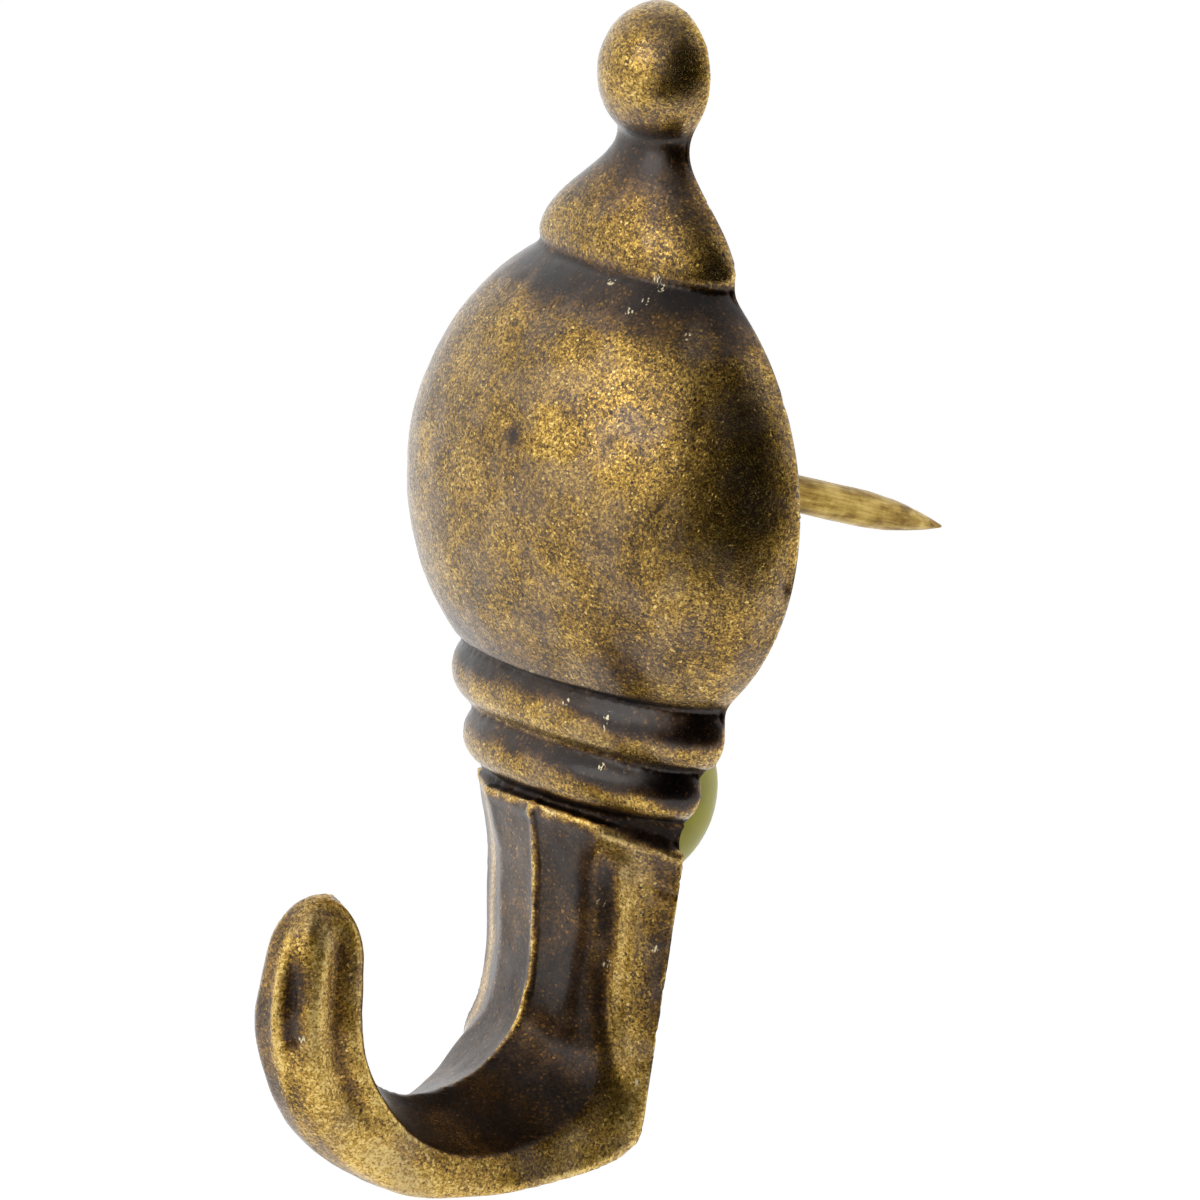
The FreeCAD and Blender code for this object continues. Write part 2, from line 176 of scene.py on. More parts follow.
def with_tongues(heights, half_widths, depths, tongue=0.5, shrink=0.55):
    """Adds a smaller ring past each end, so that neighbouring forms run into each other."""
    way = np.sign(heights[-1] - heights[0])
    heights = np.concatenate([[heights[0] - way * tongue], heights, [heights[-1] + way * tongue]])
    half_widths = np.concatenate([[half_widths[0] * shrink], half_widths, [half_widths[-1] * shrink]])
    depths = np.concatenate([[depths[0] * shrink], depths, [depths[-1] * shrink]])
    return heights, half_widths, depths


DOME_CENTRE_Z, DOME_HALF_WIDTH, DOME_HALF_HEIGHT = -1.15, 11.15, 11.0
DOME_DEPTH, DOME_EGG, DOME_DEPTH_POWER = 6.5, 0.05, 0.62
DOME_TOP_ANGLE, DOME_BOTTOM_ANGLE = math.radians(32.3), math.radians(137.8)
DOME_TOP_Z = DOME_CENTRE_Z + DOME_HALF_HEIGHT * math.cos(DOME_TOP_ANGLE)
DOME_BOTTOM_Z = DOME_CENTRE_Z + DOME_HALF_HEIGHT * math.cos(DOME_BOTTOM_ANGLE)


def dome_stations(steps=90):
    """Height c + H cos a, half width W sin a (1 - egg cos a), depth D sin(a)^(2 power)."""
    angle = np.linspace(DOME_TOP_ANGLE, DOME_BOTTOM_ANGLE, steps)
    rise = np.cos(angle)
    half_widths = DOME_HALF_WIDTH * np.sin(angle) * (1 - DOME_EGG * rise)
    return (DOME_CENTRE_Z + DOME_HALF_HEIGHT * rise, half_widths,
            DOME_DEPTH * (1 - rise * rise) ** DOME_DEPTH_POWER)


BELL_LIP_Z = DOME_TOP_Z + 0.6
BELL_LIP_HALF_WIDTH, BELL_LIP_DEPTH, BELL_LIP_TUCK, BELL_FLARE = 5.75, 2.75, 0.4, 1.6
NECK_Z = BELL_LIP_Z + 5.0
NECK_HALF_WIDTH, NECK_DEPTH = 2.0, 1.2


def bell_stations(steps=40):
    """From the neck down to the lip, the spread is sin(share 90 degrees)^flare, then it tucks in."""
    share = np.linspace(0, 1, steps)
    spread = np.sin(share * math.pi / 2) ** BELL_FLARE
    heights = NECK_Z + (BELL_LIP_Z - NECK_Z) * share
    half_widths = NECK_HALF_WIDTH + (BELL_LIP_HALF_WIDTH - NECK_HALF_WIDTH) * spread
    depths = NECK_DEPTH + (BELL_LIP_DEPTH - NECK_DEPTH) * spread
    return (np.concatenate([[NECK_Z + 1.5], heights, [DOME_TOP_Z]]),
            np.concatenate([[NECK_HALF_WIDTH + 0.2], half_widths,
                            [BELL_LIP_HALF_WIDTH - BELL_LIP_TUCK]]),
            np.concatenate([[NECK_DEPTH + 0.1], depths, [BELL_LIP_DEPTH - BELL_LIP_TUCK / 2]]))


BALL_CENTRE_Z = NECK_Z + 2.95
BALL_HALF_WIDTH, BALL_HALF_HEIGHT, BALL_DEPTH = 3.0, 3.1, 2.55


def ball_stations(steps=60):
    """An ellipsoid: at the height c + H cos a, both the half width and the depth scale by sin a."""
    angle = np.linspace(0.02, math.pi - 0.02, steps)
    return (BALL_CENTRE_Z + BALL_HALF_HEIGHT * np.cos(angle),
            BALL_HALF_WIDTH * np.sin(angle), BALL_DEPTH * np.sin(angle))


BEAD_1_BOTTOM_Z = DOME_BOTTOM_Z - 2.85
BEAD_2_BOTTOM_Z = BEAD_1_BOTTOM_Z - 2.45
BEAD_1_HALF_WIDTH, BEAD_1_DEPTH = 8.05, 3.7
BEAD_2_HALF_WIDTH, BEAD_2_DEPTH = 6.95, 3.6
GROOVE_CUT = 0.95


def bead_stations(top, bottom, half_width, depth, steps=40):
    """Drawn in at both ends by the groove cut times 1 - sin(share 180 degrees)^0.5."""
    share = (1 - np.cos(np.linspace(0, math.pi, steps))) / 2
    drawn_in = GROOVE_CUT * (1 - np.sin(share * math.pi).clip(0) ** 0.5)
    return top + (bottom - top) * share, half_width - drawn_in, depth - drawn_in


COVE_HEIGHT, COVE_SUNK, COVE_DRAW = 0.8, 1.0, 1.15


def cove_stations(steps=16):
    """Under the beads the form draws in by cut + draw share^1.4, down into the shank's top."""
    share = np.linspace(0, 1, steps)
    drawn_in = GROOVE_CUT + COVE_DRAW * share ** 1.4
    return (BEAD_2_BOTTOM_Z - (COVE_HEIGHT + COVE_SUNK) * share,
            BEAD_2_HALF_WIDTH - drawn_in, BEAD_2_DEPTH - drawn_in)


bead_1 = bead_stations(DOME_BOTTOM_Z, BEAD_1_BOTTOM_Z, BEAD_1_HALF_WIDTH, BEAD_1_DEPTH)
bead_2 = bead_stations(BEAD_1_BOTTOM_Z, BEAD_2_BOTTOM_Z, BEAD_2_HALF_WIDTH, BEAD_2_DEPTH)
upper_forms = {"ball": ball_stations()}
for name, lists in (("bell", bell_stations()), ("dome", dome_stations()), ("bead_1", bead_1),
                    ("bead_2", bead_2), ("cove", cove_stations())):
    upper_forms[name] = with_tongues(*lists)
shells = {name: closed_mesh(name, half_round_rings(*lists)) for name, lists in upper_forms.items()}
print("upper forms:", {name: len(mesh.vertices) for name, mesh in shells.items()})

# %% [markdown]
# ## The shank and the J
#
# The lower half is one bar that changes its section as it goes: a trapezium with a crowned front
# on the shank, a broad slanting trough in the bowl, and a slim rounded finger at the tip. Each
# section is drawn by eight poles, and the poles themselves run along smooth lines.

# %% Numbers of the shank, the bowl and the tip
SHANK_TOP_Z = BEAD_2_BOTTOM_Z - COVE_HEIGHT
SHANK_LENGTH, SHANK_TOP_SLOPE, SHANK_TOP_FLARE = 13.9, 0.5, 0.5
SHANK_TOP_HALF_WIDTH, SHANK_TOP_DEPTH = 6.35, 3.3
SHANK_LEDGE, SHANK_LEDGE_DEPTH = 2.0, 2.7
SHANK_FRONT_HALF_WIDTH, SHANK_DEPTH, SHANK_CROWN, SHANK_ROUNDING = 3.1, 2.35, 0.65, 0.5
HEEL_HALF_WIDTH = 5.5
HEEL_Z = SHANK_TOP_Z - SHANK_LENGTH
BOWL_BOTTOM_Y, BOWL_BOTTOM_Z = -8.2, HEEL_Z + 1.95
BOWL_BACK_RUN, BOWL_BACK_RISE, BOWL_TIP_RUN, BOWL_TIP_RISE = 5.85, 4.0, 5.0, 4.6
BOWL_CROWN, BOWL_THICKNESS, BOWL_FRONT_HALF_WIDTH = 2.1, 3.85, 4.3
TIP_HEIGHT, TIP_HALF_WIDTH, TIP_OUTER_HALF_WIDTH, TIP_TAPER = 9.35, 2.4, 1.25, 0.24
TIP_THICKNESS, TIP_CROWN, TIP_EDGE_ROUNDING, TIP_ROUNDING = 3.8, 0.8, 2.4, 3.0
SECTION_STOCK = 0.3
HEEL_TURN = 45
BOWL_TURNS = (4, 25, 45, 64, 90, 117, 144, 176)
TIP_END_TURNS = (22, 42, 60, 75, 90)

# %% One cross section of the bar
def spoke(outer, inner, outer_half_width, inner_half_width, crown, rounding):
    """Eight poles of the right half: flat at the outer point, sloping side, ridge at the inner one."""
    outer, inner = np.array([0, *outer]), np.array([0, *inner])
    thickness = np.linalg.norm(inner - outer)
    along = (inner - outer) / thickness
    stock = max(outer[1], 0)
    slope_in = (outer_half_width - inner_half_width) / (thickness - crown - stock)
    corner = np.array([outer_half_width + slope_in * stock, 0])
    edge = np.array([inner_half_width, thickness - crown])
    ridge = np.array([0, thickness])
    side = (edge - corner) / np.linalg.norm(edge - corner)
    slope = (ridge - edge) / np.linalg.norm(ridge - edge)
    most_turn = 0.42 * np.linalg.norm(edge - corner)
    corner_turn = min(rounding, most_turn)
    edge_turn = min(0.6 * rounding, most_turn)
    flat = np.array([max(corner[0] - rounding, 0.3 * corner[0]), 0])
    poles = np.array([[0, 0], flat, corner, corner + side * corner_turn, edge - side * edge_turn,
                      edge, edge + slope * edge_turn, ridge])
    return outer + poles[:, :1] * np.array([1, 0, 0]) + poles[:, 1:] * along


def shank_back_width(z):
    """Half the width of the shank's flat back, which tapers evenly from its top to the heel."""
    narrowing = SHANK_TOP_HALF_WIDTH - HEEL_HALF_WIDTH
    return SHANK_TOP_HALF_WIDTH - narrowing * (SHANK_TOP_Z - z) / SHANK_LENGTH


def fall(turn, start, end):
    """One before the span of turns, nothing after it, and half a cosine wave between."""
    return (1 + math.cos(min(max((turn - start) / (end - start), 0), 1) * math.pi)) / 2


def ridge_point(turn):
    """The ridge inside the bowl: two quarter ellipses that meet at its floor."""
    run, rise = (BOWL_BACK_RUN, BOWL_BACK_RISE) if turn < 90 else (BOWL_TIP_RUN, BOWL_TIP_RISE)
    angle = math.radians(turn)
    return BOWL_BOTTOM_Y + run * math.cos(angle), BOWL_BOTTOM_Z + rise * (1 - math.sin(angle))


def outer_point(turn):
    """The outer line: down the back, forward from the heel, then up round the tip."""
    if turn <= HEEL_TURN:
        share = turn / HEEL_TURN
        top = BOWL_BOTTOM_Z + BOWL_BACK_RISE
        return SECTION_STOCK * (1 - share ** 4), top + (HEEL_Z + 0.3 - top) * share
    if turn < 90:
        share = (turn - HEEL_TURN) / (90 - HEEL_TURN)
        drop = HEEL_Z - (BOWL_BOTTOM_Z - BOWL_THICKNESS)
        return BOWL_BOTTOM_Y * share, HEEL_Z - drop * math.sin(share * math.pi / 2)
    angle = math.radians(turn)
    return (BOWL_BOTTOM_Y + (BOWL_TIP_RUN + TIP_THICKNESS) * math.cos(angle),
            BOWL_BOTTOM_Z + BOWL_TIP_RISE - (BOWL_TIP_RISE + BOWL_THICKNESS) * math.sin(angle))


def bowl_section(turn):
    """One section of the bowl, whose sizes pass smoothly from the shank's to the tip's."""
    outer = outer_point(turn)
    if turn <= HEEL_TURN:
        back = shank_back_width(outer[1])
    else:
        back = TIP_OUTER_HALF_WIDTH + (HEEL_HALF_WIDTH - TIP_OUTER_HALF_WIDTH) * fall(turn, 40, 145)
    front = (BOWL_FRONT_HALF_WIDTH
             - (BOWL_FRONT_HALF_WIDTH - SHANK_FRONT_HALF_WIDTH) * fall(turn, 0, 45)
             - (BOWL_FRONT_HALF_WIDTH - TIP_HALF_WIDTH) * (1 - fall(turn, 45, 180)))
    crown = (BOWL_CROWN - (BOWL_CROWN - SHANK_CROWN) * fall(turn, -10, 45)
             - (BOWL_CROWN - TIP_CROWN) * (1 - fall(turn, 75, 170)))
    rounding = TIP_EDGE_ROUNDING - (TIP_EDGE_ROUNDING - SHANK_ROUNDING) * fall(turn, 0, 170)
    return spoke(outer, ridge_point(turn), back, front, crown, rounding)

# %% All sections in order
middle_z = (SHANK_TOP_Z + BOWL_BOTTOM_Z + BOWL_BACK_RISE) / 2
ledge_z = SHANK_TOP_Z - SHANK_LEDGE
shank_sections = [
    spoke((SECTION_STOCK, SHANK_TOP_Z - SHANK_TOP_SLOPE), (-SHANK_TOP_DEPTH, SHANK_TOP_Z + SHANK_TOP_SLOPE),
          SHANK_TOP_HALF_WIDTH, SHANK_FRONT_HALF_WIDTH + SHANK_TOP_FLARE, SHANK_CROWN, SHANK_ROUNDING),
    spoke((SECTION_STOCK, ledge_z), (-SHANK_LEDGE_DEPTH, ledge_z),
          shank_back_width(ledge_z), SHANK_FRONT_HALF_WIDTH, SHANK_CROWN, SHANK_ROUNDING),
    spoke((SECTION_STOCK, middle_z), (-SHANK_DEPTH, middle_z),
          shank_back_width(middle_z), SHANK_FRONT_HALF_WIDTH, SHANK_CROWN, SHANK_ROUNDING),
]
tip_base_z = BOWL_BOTTOM_Z + TIP_HEIGHT - TIP_ROUNDING
tip_inner_y = BOWL_BOTTOM_Y - BOWL_TIP_RUN
tip_middle = np.array([0, tip_inner_y - TIP_THICKNESS / 2, 0])
tip_base = spoke((tip_inner_y - TIP_THICKNESS, tip_base_z), (tip_inner_y, tip_base_z),
                 TIP_OUTER_HALF_WIDTH, TIP_HALF_WIDTH - TIP_TAPER, TIP_CROWN, TIP_EDGE_ROUNDING)
tip_flat = (tip_base - tip_middle) * [1, 1, 0]
tip_sections = [tip_base] + [
    tip_middle + tip_flat * max(math.cos(math.radians(turn)), 0.01)
    + [0, 0, tip_base_z + TIP_ROUNDING * math.sin(math.radians(turn))] for turn in TIP_END_TURNS]
bar_sections = np.array(shank_sections + [bowl_section(turn) for turn in BOWL_TURNS] + tip_sections)
print("sections of the bar:", bar_sections.shape)

# %% Smooth lines through the sections, and a smooth curve across each
def smooth_through(values, places, at):
    """Natural cubic spline: the second slopes solve the usual three-term rule, then each span is cubic."""
    count = len(places)
    step = np.diff(places)
    rule = np.eye(count)
    wanted = np.zeros((count, values[0].size))
    flat = values.reshape(count, -1)
    inner = np.arange(1, count - 1)
    rule[inner, inner - 1] = step[:-1]
    rule[inner, inner] = 2 * (step[:-1] + step[1:])
    rule[inner, inner + 1] = step[1:]
    slopes = np.diff(flat, axis=0) / step[:, None]
    wanted[1:-1] = 6 * np.diff(slopes, axis=0)
    bend = np.linalg.solve(rule, wanted)
    span = np.clip(np.searchsorted(places, at, side="right") - 1, 0, count - 2)
    width = step[span][:, None]
    far = (at - places[span])[:, None]
    near = width - far
    line = (flat[span] * near + flat[span + 1] * far) / width
    curve = ((near ** 3 / width - width * near) * bend[span]
             + (far ** 3 / width - width * far) * bend[span + 1]) / 6
    return (line + curve).reshape(len(at), *values.shape[1:])


def pole_weights(poles, points):
    """How much each pole of a clamped curve of degree two counts at evenly spaced points."""
    knots = np.concatenate([[0, 0], np.arange(poles - 1), [poles - 2, poles - 2]]).astype(float)
    at = np.linspace(0, poles - 2, points).clip(0, poles - 2 - 1e-9)
    weights = ((at[:, None] >= knots[:-1]) & (at[:, None] < knots[1:])).astype(float)
    for degree in (1, 2):
        left = knots[degree:-1] - knots[:-degree - 1]
        right = knots[degree + 1:] - knots[1:-degree]
        rising = (at[:, None] - knots[:-degree - 1]) / np.where(left > 0, left, 1) * (left > 0)
        sinking = (knots[degree + 1:] - at[:, None]) / np.where(right > 0, right, 1) * (right > 0)
        weights = rising * weights[:, :-1] + sinking * weights[:, 1:]
    return weights


BAR_RINGS, HALF_RING_POINTS = 420, 90
reach = np.linalg.norm(np.diff(bar_sections, axis=0), axis=-1).mean(axis=1)
places = np.concatenate([[0], np.cumsum(reach)])
lines = smooth_through(bar_sections, places, np.linspace(0, places[-1], BAR_RINGS))
half_rings = np.einsum("pk,skc->spc", pole_weights(bar_sections.shape[1], HALF_RING_POINTS), lines)
proud = half_rings[..., 1] > 0
flat_width = np.where(proud, 0, half_rings[..., 0]).max(axis=1, keepdims=True)
full_width = half_rings[..., 0].max(axis=1, keepdims=True)
half_rings[..., 0] = np.where(proud, half_rings[..., 0] * flat_width / full_width, half_rings[..., 0])
half_rings[..., 1] = np.where(proud, half_rings[..., 1] * BACK_STOCK / SECTION_STOCK, half_rings[..., 1])
left_rings = (half_rings * [-1, 1, 1])[:, -2:0:-1]
shells["bar"] = closed_mesh("bar", np.concatenate([half_rings, left_rings], axis=1))
print("bar:", len(shells["bar"].vertices), "points,", round(places[-1], 1), "mm long")

# %% [markdown]
# ## Fusing the forms
#
# The real thing is one casting: its forms run into each other with small fillets and no seams.
# A voxel remesh does the same. It turns all the overlapping shells into one even skin, and the
# voxel size of 0.165 mm leaves the rounding that such a casting has. The hole for the nail is
# then cut, and a second remesh evens its edge.

# %% Fuse, bore, and even out
VOXEL = 0.165


def joined(name, meshes):
    """Several meshes as one, without welding them."""
    starts = np.cumsum([0] + [len(mesh.vertices) for mesh in meshes])
    faces = [[corner + start for corner in face.vertices] for mesh, start in zip(meshes, starts)
             for face in mesh.polygons]
    mesh = bpy.data.meshes.new(name)
    mesh.from_pydata(np.vstack([read_points(part) for part in meshes]) * MM, [], faces)
    return mesh


def with_modifiers(thing):
    """The mesh that an object's modifiers give, as a new mesh of its own."""
    graph = bpy.context.evaluated_depsgraph_get()
    mesh = bpy.data.meshes.new_from_object(thing.evaluated_get(graph))
    thing.modifiers.clear()
    return mesh


def remeshed(thing, voxel):
    """Replaces the object's mesh by one even skin of that voxel size."""
    modifier = thing.modifiers.new("fuse", "REMESH")
    modifier.mode = "VOXEL"
    modifier.voxel_size = voxel * MM
    thing.data = with_modifiers(thing)


NAIL_DOWN = math.radians(13.6)
NAIL_WAY = np.array([0, math.cos(NAIL_DOWN), -math.sin(NAIL_DOWN)])
NAIL_SIDE = np.array([1.0, 0, 0])
NAIL_TOP = np.cross(NAIL_SIDE, NAIL_WAY)


def turned_rings(radii, distances, around=48):
    """Rings about the nail's axis: distance along the way, radius across it."""
    angle = np.linspace(0, 2 * math.pi, around, endpoint=False)
    across = np.cos(angle)[:, None] * NAIL_SIDE + np.sin(angle)[:, None] * NAIL_TOP
    return distances[:, None, None] * NAIL_WAY + radii[:, None, None] * across


body = add_object("hook_casting", joined("hook_casting", list(shells.values())))
remeshed(body, VOXEL)
bore_radii, bore_ways = np.array([1.02, 1.02, 1.5, 1.5]), np.array([-4.5, 0.0, 0.001, 2.0])
bore = add_object("bore", closed_mesh("bore", turned_rings(bore_radii, bore_ways)))
cut = body.modifiers.new("bore", "BOOLEAN")
cut.operation = "DIFFERENCE"
cut.object = bore
cut.solver = "EXACT"
body.data = with_modifiers(body)
bpy.data.objects.remove(bore)
remeshed(body, VOXEL)
print("casting:", len(body.data.vertices), "points,", len(body.data.polygons), "faces")
print("triangles:", sum(len(face.vertices) - 2 for face in body.data.polygons))

# %% [markdown]
# ## Shaping the casting
#
# A real casting is never as even as its drawing. Its skin is smoothed where it was tumbled, a
# parting ridge runs up the tip with an oval hollow and a fine crack beside it, the ridge on the
# shank is beaded, and there is a nick in the dome's rim. It could be sculpted with a brush. Here it
# is done on the array of points, because a formula can be measured and changed: first a smoothing,
# then moves along the normals, then moves sideways that make the far side slimmer at the shank and
# fuller at the tip, as the photograph's outline has it.

# %% Neighbour averages
def edge_list(mesh):
    """Both point numbers of every edge, as an array (edges, 2)."""
    pairs = np.zeros(len(mesh.edges) * 2, np.int32)
    mesh.edges.foreach_get("vertices", pairs)
    return pairs.reshape(-1, 2)


def neighbour_mean(values, pairs, counts):
    """Mean of the values at the points that share an edge with each point."""
    ends = np.concatenate([pairs[:, 0], pairs[:, 1]])
    others = np.concatenate([pairs[:, 1], pairs[:, 0]])
    columns = values.reshape(len(values), -1)
    total = np.stack([np.bincount(ends, column[others], len(values)) for column in columns.T], axis=1)
    return (total / counts[:, None]).reshape(values.shape)


def relaxed(values, pairs, counts, rounds, share=0.5):
    """Moves every value part of the way to its neighbours' mean, again and again."""
    for _ in range(rounds):
        values = values + (neighbour_mean(values, pairs, counts) - values) * share
    return values


def taubin(points, pairs, counts, rounds, give=0.5, take=-0.53):
    """Smooths without shrinking: one step towards the neighbours' mean, one slightly longer back."""
    for _ in range(rounds):
        points = points + (neighbour_mean(points, pairs, counts) - points) * give
        points = points + (neighbour_mean(points, pairs, counts) - points) * take
    return points


def read_normals(mesh):
    """Point normals of a mesh as an array."""
    flat = np.zeros(len(mesh.vertices) * 3, np.float32)
    mesh.vertices.foreach_get("normal", flat)
    return flat.reshape(-1, 3).astype(float)


def cloud(points, size, seed):
    """Soft random field from -1 to 1: random values on a lattice of that size, blended by an S."""
    table = np.random.default_rng(seed).random(4096) * 2 - 1
    cell = points / size + 1000.0
    base = np.floor(cell).astype(np.int64)
    share = cell - base
    share = share * share * (3 - 2 * share)
    total = np.zeros(len(points))
    for corner in np.ndindex(2, 2, 2):
        pick = base + corner
        mixed = (pick[:, 0] * 73856093) ^ (pick[:, 1] * 19349663) ^ (pick[:, 2] * 83492791)
        total += np.where(corner, share, 1 - share).prod(axis=1) * table[mixed & 4095]
    return total


# %% Smooth the skin and weld its smallest edges
TUMBLE_ROUNDS, RIM_ROUNDS = 6, 30
WELD_MM, SHORTEST_MM = 0.045, 0.01
skin = body.data
pairs = edge_list(skin)
counts = np.bincount(pairs.ravel(), minlength=len(skin.vertices)).astype(float)
points = read_points(skin)
points = taubin(points, pairs, counts, TUMBLE_ROUNDS)
points[:, 1] = np.minimum(points[:, 1], 0)
write_points(skin, points)
welded = bmesh.new()
welded.from_mesh(skin)
bmesh.ops.remove_doubles(welded, verts=welded.verts, dist=WELD_MM * MM)
bmesh.ops.dissolve_degenerate(welded, edges=welded.edges, dist=SHORTEST_MM * MM)
welded.to_mesh(skin)
welded.free()
print("welded to", len(skin.vertices), "points")

# %% Straighten the rim of the flat back
pairs = edge_list(skin)
counts = np.bincount(pairs.ravel(), minlength=len(skin.vertices)).astype(float)
points = read_points(skin)
on_back = points[:, 1] > -0.001
reaches_out = np.zeros(len(points), bool)
reaches_out[pairs[on_back[pairs[:, 0]] & ~on_back[pairs[:, 1]], 0]] = True
reaches_out[pairs[on_back[pairs[:, 1]] & ~on_back[pairs[:, 0]], 1]] = True
rim = on_back & reaches_out
rim_pairs = pairs[rim[pairs].all(axis=1)]
rim_counts = np.bincount(rim_pairs.ravel(), minlength=len(points)).astype(float)
rim &= rim_counts >= 2
for _ in range(RIM_ROUNDS):
    aim = neighbour_mean(points, rim_pairs, rim_counts.clip(1))
    points[rim] += (aim - points)[rim] * 0.5
near_rim = np.where(rim, 0.0, 0.5)[:, None]
for _ in range(3):
    points = points + (neighbour_mean(points, pairs, counts) - points) * near_rim * on_back[:, None]
x, z = points[:, 0], points[:, 2]
on_shank = (z > HEEL_Z + 0.8) & (z < SHANK_TOP_Z - 1.0) & (abs(x) > 3.5)
shank_rim = rim & on_shank
taper = np.polyfit(z[shank_rim], abs(x[shank_rim]), 2)
even_width = np.polyval(taper, z)
straight = np.sign(x) * np.minimum(abs(x), even_width + 0.02)
points[:, 0] = np.where(on_shank, straight, x)
points[:, 0] += np.where(shank_rim, (np.sign(x) * even_width - x) * 0.85, 0)
print("smoothed", len(points), "points,", int(on_back.sum()), "of them on the flat back")

# %% Where each point lies on the bar
def bar_place(points):
    """Station along the bar (0 to 1), share from outer line to ridge, and the section's edge there."""
    every = lines[::3]
    outer, ridge = every[:, 0, 1:], every[:, 7, 1:]
    share = np.linspace(0, 1, 9)
    spots = outer[:, None] + (ridge - outer)[:, None] * share[:, None]
    flat = spots.reshape(-1, 2)
    nearest = np.concatenate([
        (((block[:, None] - flat) ** 2).sum(axis=-1)).argmin(axis=1)
        for block in np.array_split(points[:, 1:], max(len(points) // 3000, 1))])
    station = nearest // len(share)
    along = ridge[station] - outer[station]
    length = np.linalg.norm(along, axis=1)
    height = ((points[:, 1:] - outer[station]) * along).sum(axis=1) / length ** 2
    edge_height = ((every[station, 5, 1:] - outer[station]) * along).sum(axis=1) / length ** 2
    return station / (len(every) - 1), height, every[station, 5, 0], edge_height


on_bar = points[:, 2] < SHANK_TOP_Z + 0.6
station = np.zeros(len(points))
height, edge_x, edge_height = station.copy(), station.copy(), station.copy()
station[on_bar], height[on_bar], edge_x[on_bar], edge_height[on_bar] = bar_place(points[on_bar])
x, y, z = points.T
inside = (on_bar * smooth_step(edge_x - abs(x), -0.1, 0.25)
          * smooth_step(height - edge_height, -0.12, 0.02))
on_tip = on_bar * smooth_step(-y, 9.5, 12.5)
outside = on_tip * smooth_step(0.5 - height, -0.05, 0.25)
print("points on the bar:", int(on_bar.sum()), "inside the J:", int(inside.sum()))

# %% Move the points
normals = read_normals(skin)
free = np.where(on_back, 0.0, 1.0)
uneven = (0.035 * cloud(points, 2.6, 1) + 0.016 * cloud(points, 0.9, 2)
          + 0.008 * cloud(points, 0.4, 3))
ridge_bead = (inside * bump_at(x, 0.05 * cloud(points, 1.2, 4), 0.13)
              * (0.13 + 0.045 * cloud(points, 0.35, 5)))
ridge_bead = ridge_bead * smooth_step(z, -27.5, -24.0)
tip_span = smooth_step(z, -28.5, -26.0) * smooth_step(-z, 18.6, 20.2)
parting = (outside * bump_at(x, 0.06 + 0.1 * cloud(points, 1.5, 6), 0.28)
           * smooth_step(z, -30, -26) * smooth_step(-z, 18.5, 19.8))
parting = parting * (0.07 + 0.2 * bump_at(z, -22.9, 2.2))
hollow_span = smooth_step(z, -25.0, -24.2) * smooth_step(-z, 20.2, 21.4)
hollow_across = smooth_step(x, 0.16, 0.58) * smooth_step(1.75 - x, 0, 1.1)
dents = (-outside * hollow_across * (0.07 * tip_span + 0.17 * hollow_span)
         * (1 + 0.3 * cloud(points, 0.9, 7)))
crack = (-0.09 * outside * bump_at(z + 0.15 * cloud(points, 0.6, 9), -24.4, 0.16)
         * smooth_step(x, -0.3, 0.1) * smooth_step(1.5 - x, 0, 0.5))
crest_line = (on_tip * bump_at(height, 0.2, 0.13) * smooth_step(abs(x), 1.0, 1.5)
              * smooth_step(-z, 18.2, 19.5))
crests = (0.08 + 0.16 * smooth_step(x, 0, 1)) * crest_line * tip_span
flutes = -on_tip * bump_at(height, 0.45, 0.13) * smooth_step(abs(x), 1.0, 1.6) * 0.24 * tip_span
shank_span = (smooth_step(z, -28.0, -22.0) * smooth_step(-z, 15.7, 17.6) * on_bar
              * smooth_step(7 - abs(y + 1), 0, 2))
from_edge = abs(x) - edge_x
shoulders = (shank_span * smooth_step(x, -1, 1)
             * (0.12 * bump_at(from_edge, -0.9, 0.9) - 0.36 * bump_at(from_edge, 0.6, 0.5)))
flange_edge = (0.08 * on_bar * bump_at(z, SHANK_TOP_Z - 0.35 + 0.1 * abs(y), 0.25)
               * (1 + 0.7 * cloud(points, 1.0, 8)))
nick = -0.22 * bump_at(x, 10.95, 0.25) * bump_at(z, -3.2, 0.5) * bump_at(y, -0.35, 0.3)
hairline = -0.06 * on_bar * bump_at(z + 0.35 * (x - 5), -17.6, 0.12) * smooth_step(x, 4.2, 4.8)
near_heel = bump_at(np.hypot(y + 12.7, z + 29.5), 0, 1.9) * smooth_step(-x, 0.3, 1.6)
near_floor = bump_at(np.hypot(y + 10.3, z + 30.9), 0, 1.6) * smooth_step(x, -1.0, 0.5)
under = on_bar * smooth_step(0.5 - height, 0, 0.3) * (0.2 * near_floor - 0.32 * near_heel)
move = (uneven + ridge_bead + parting + dents + crests + flutes + shoulders + flange_edge + nick
        + hairline + crack + under)
points = points + normals * (move * free)[:, None]
print("moved by", round(float(move.min()), 2), "to", round(float(move.max()), 2), "mm")

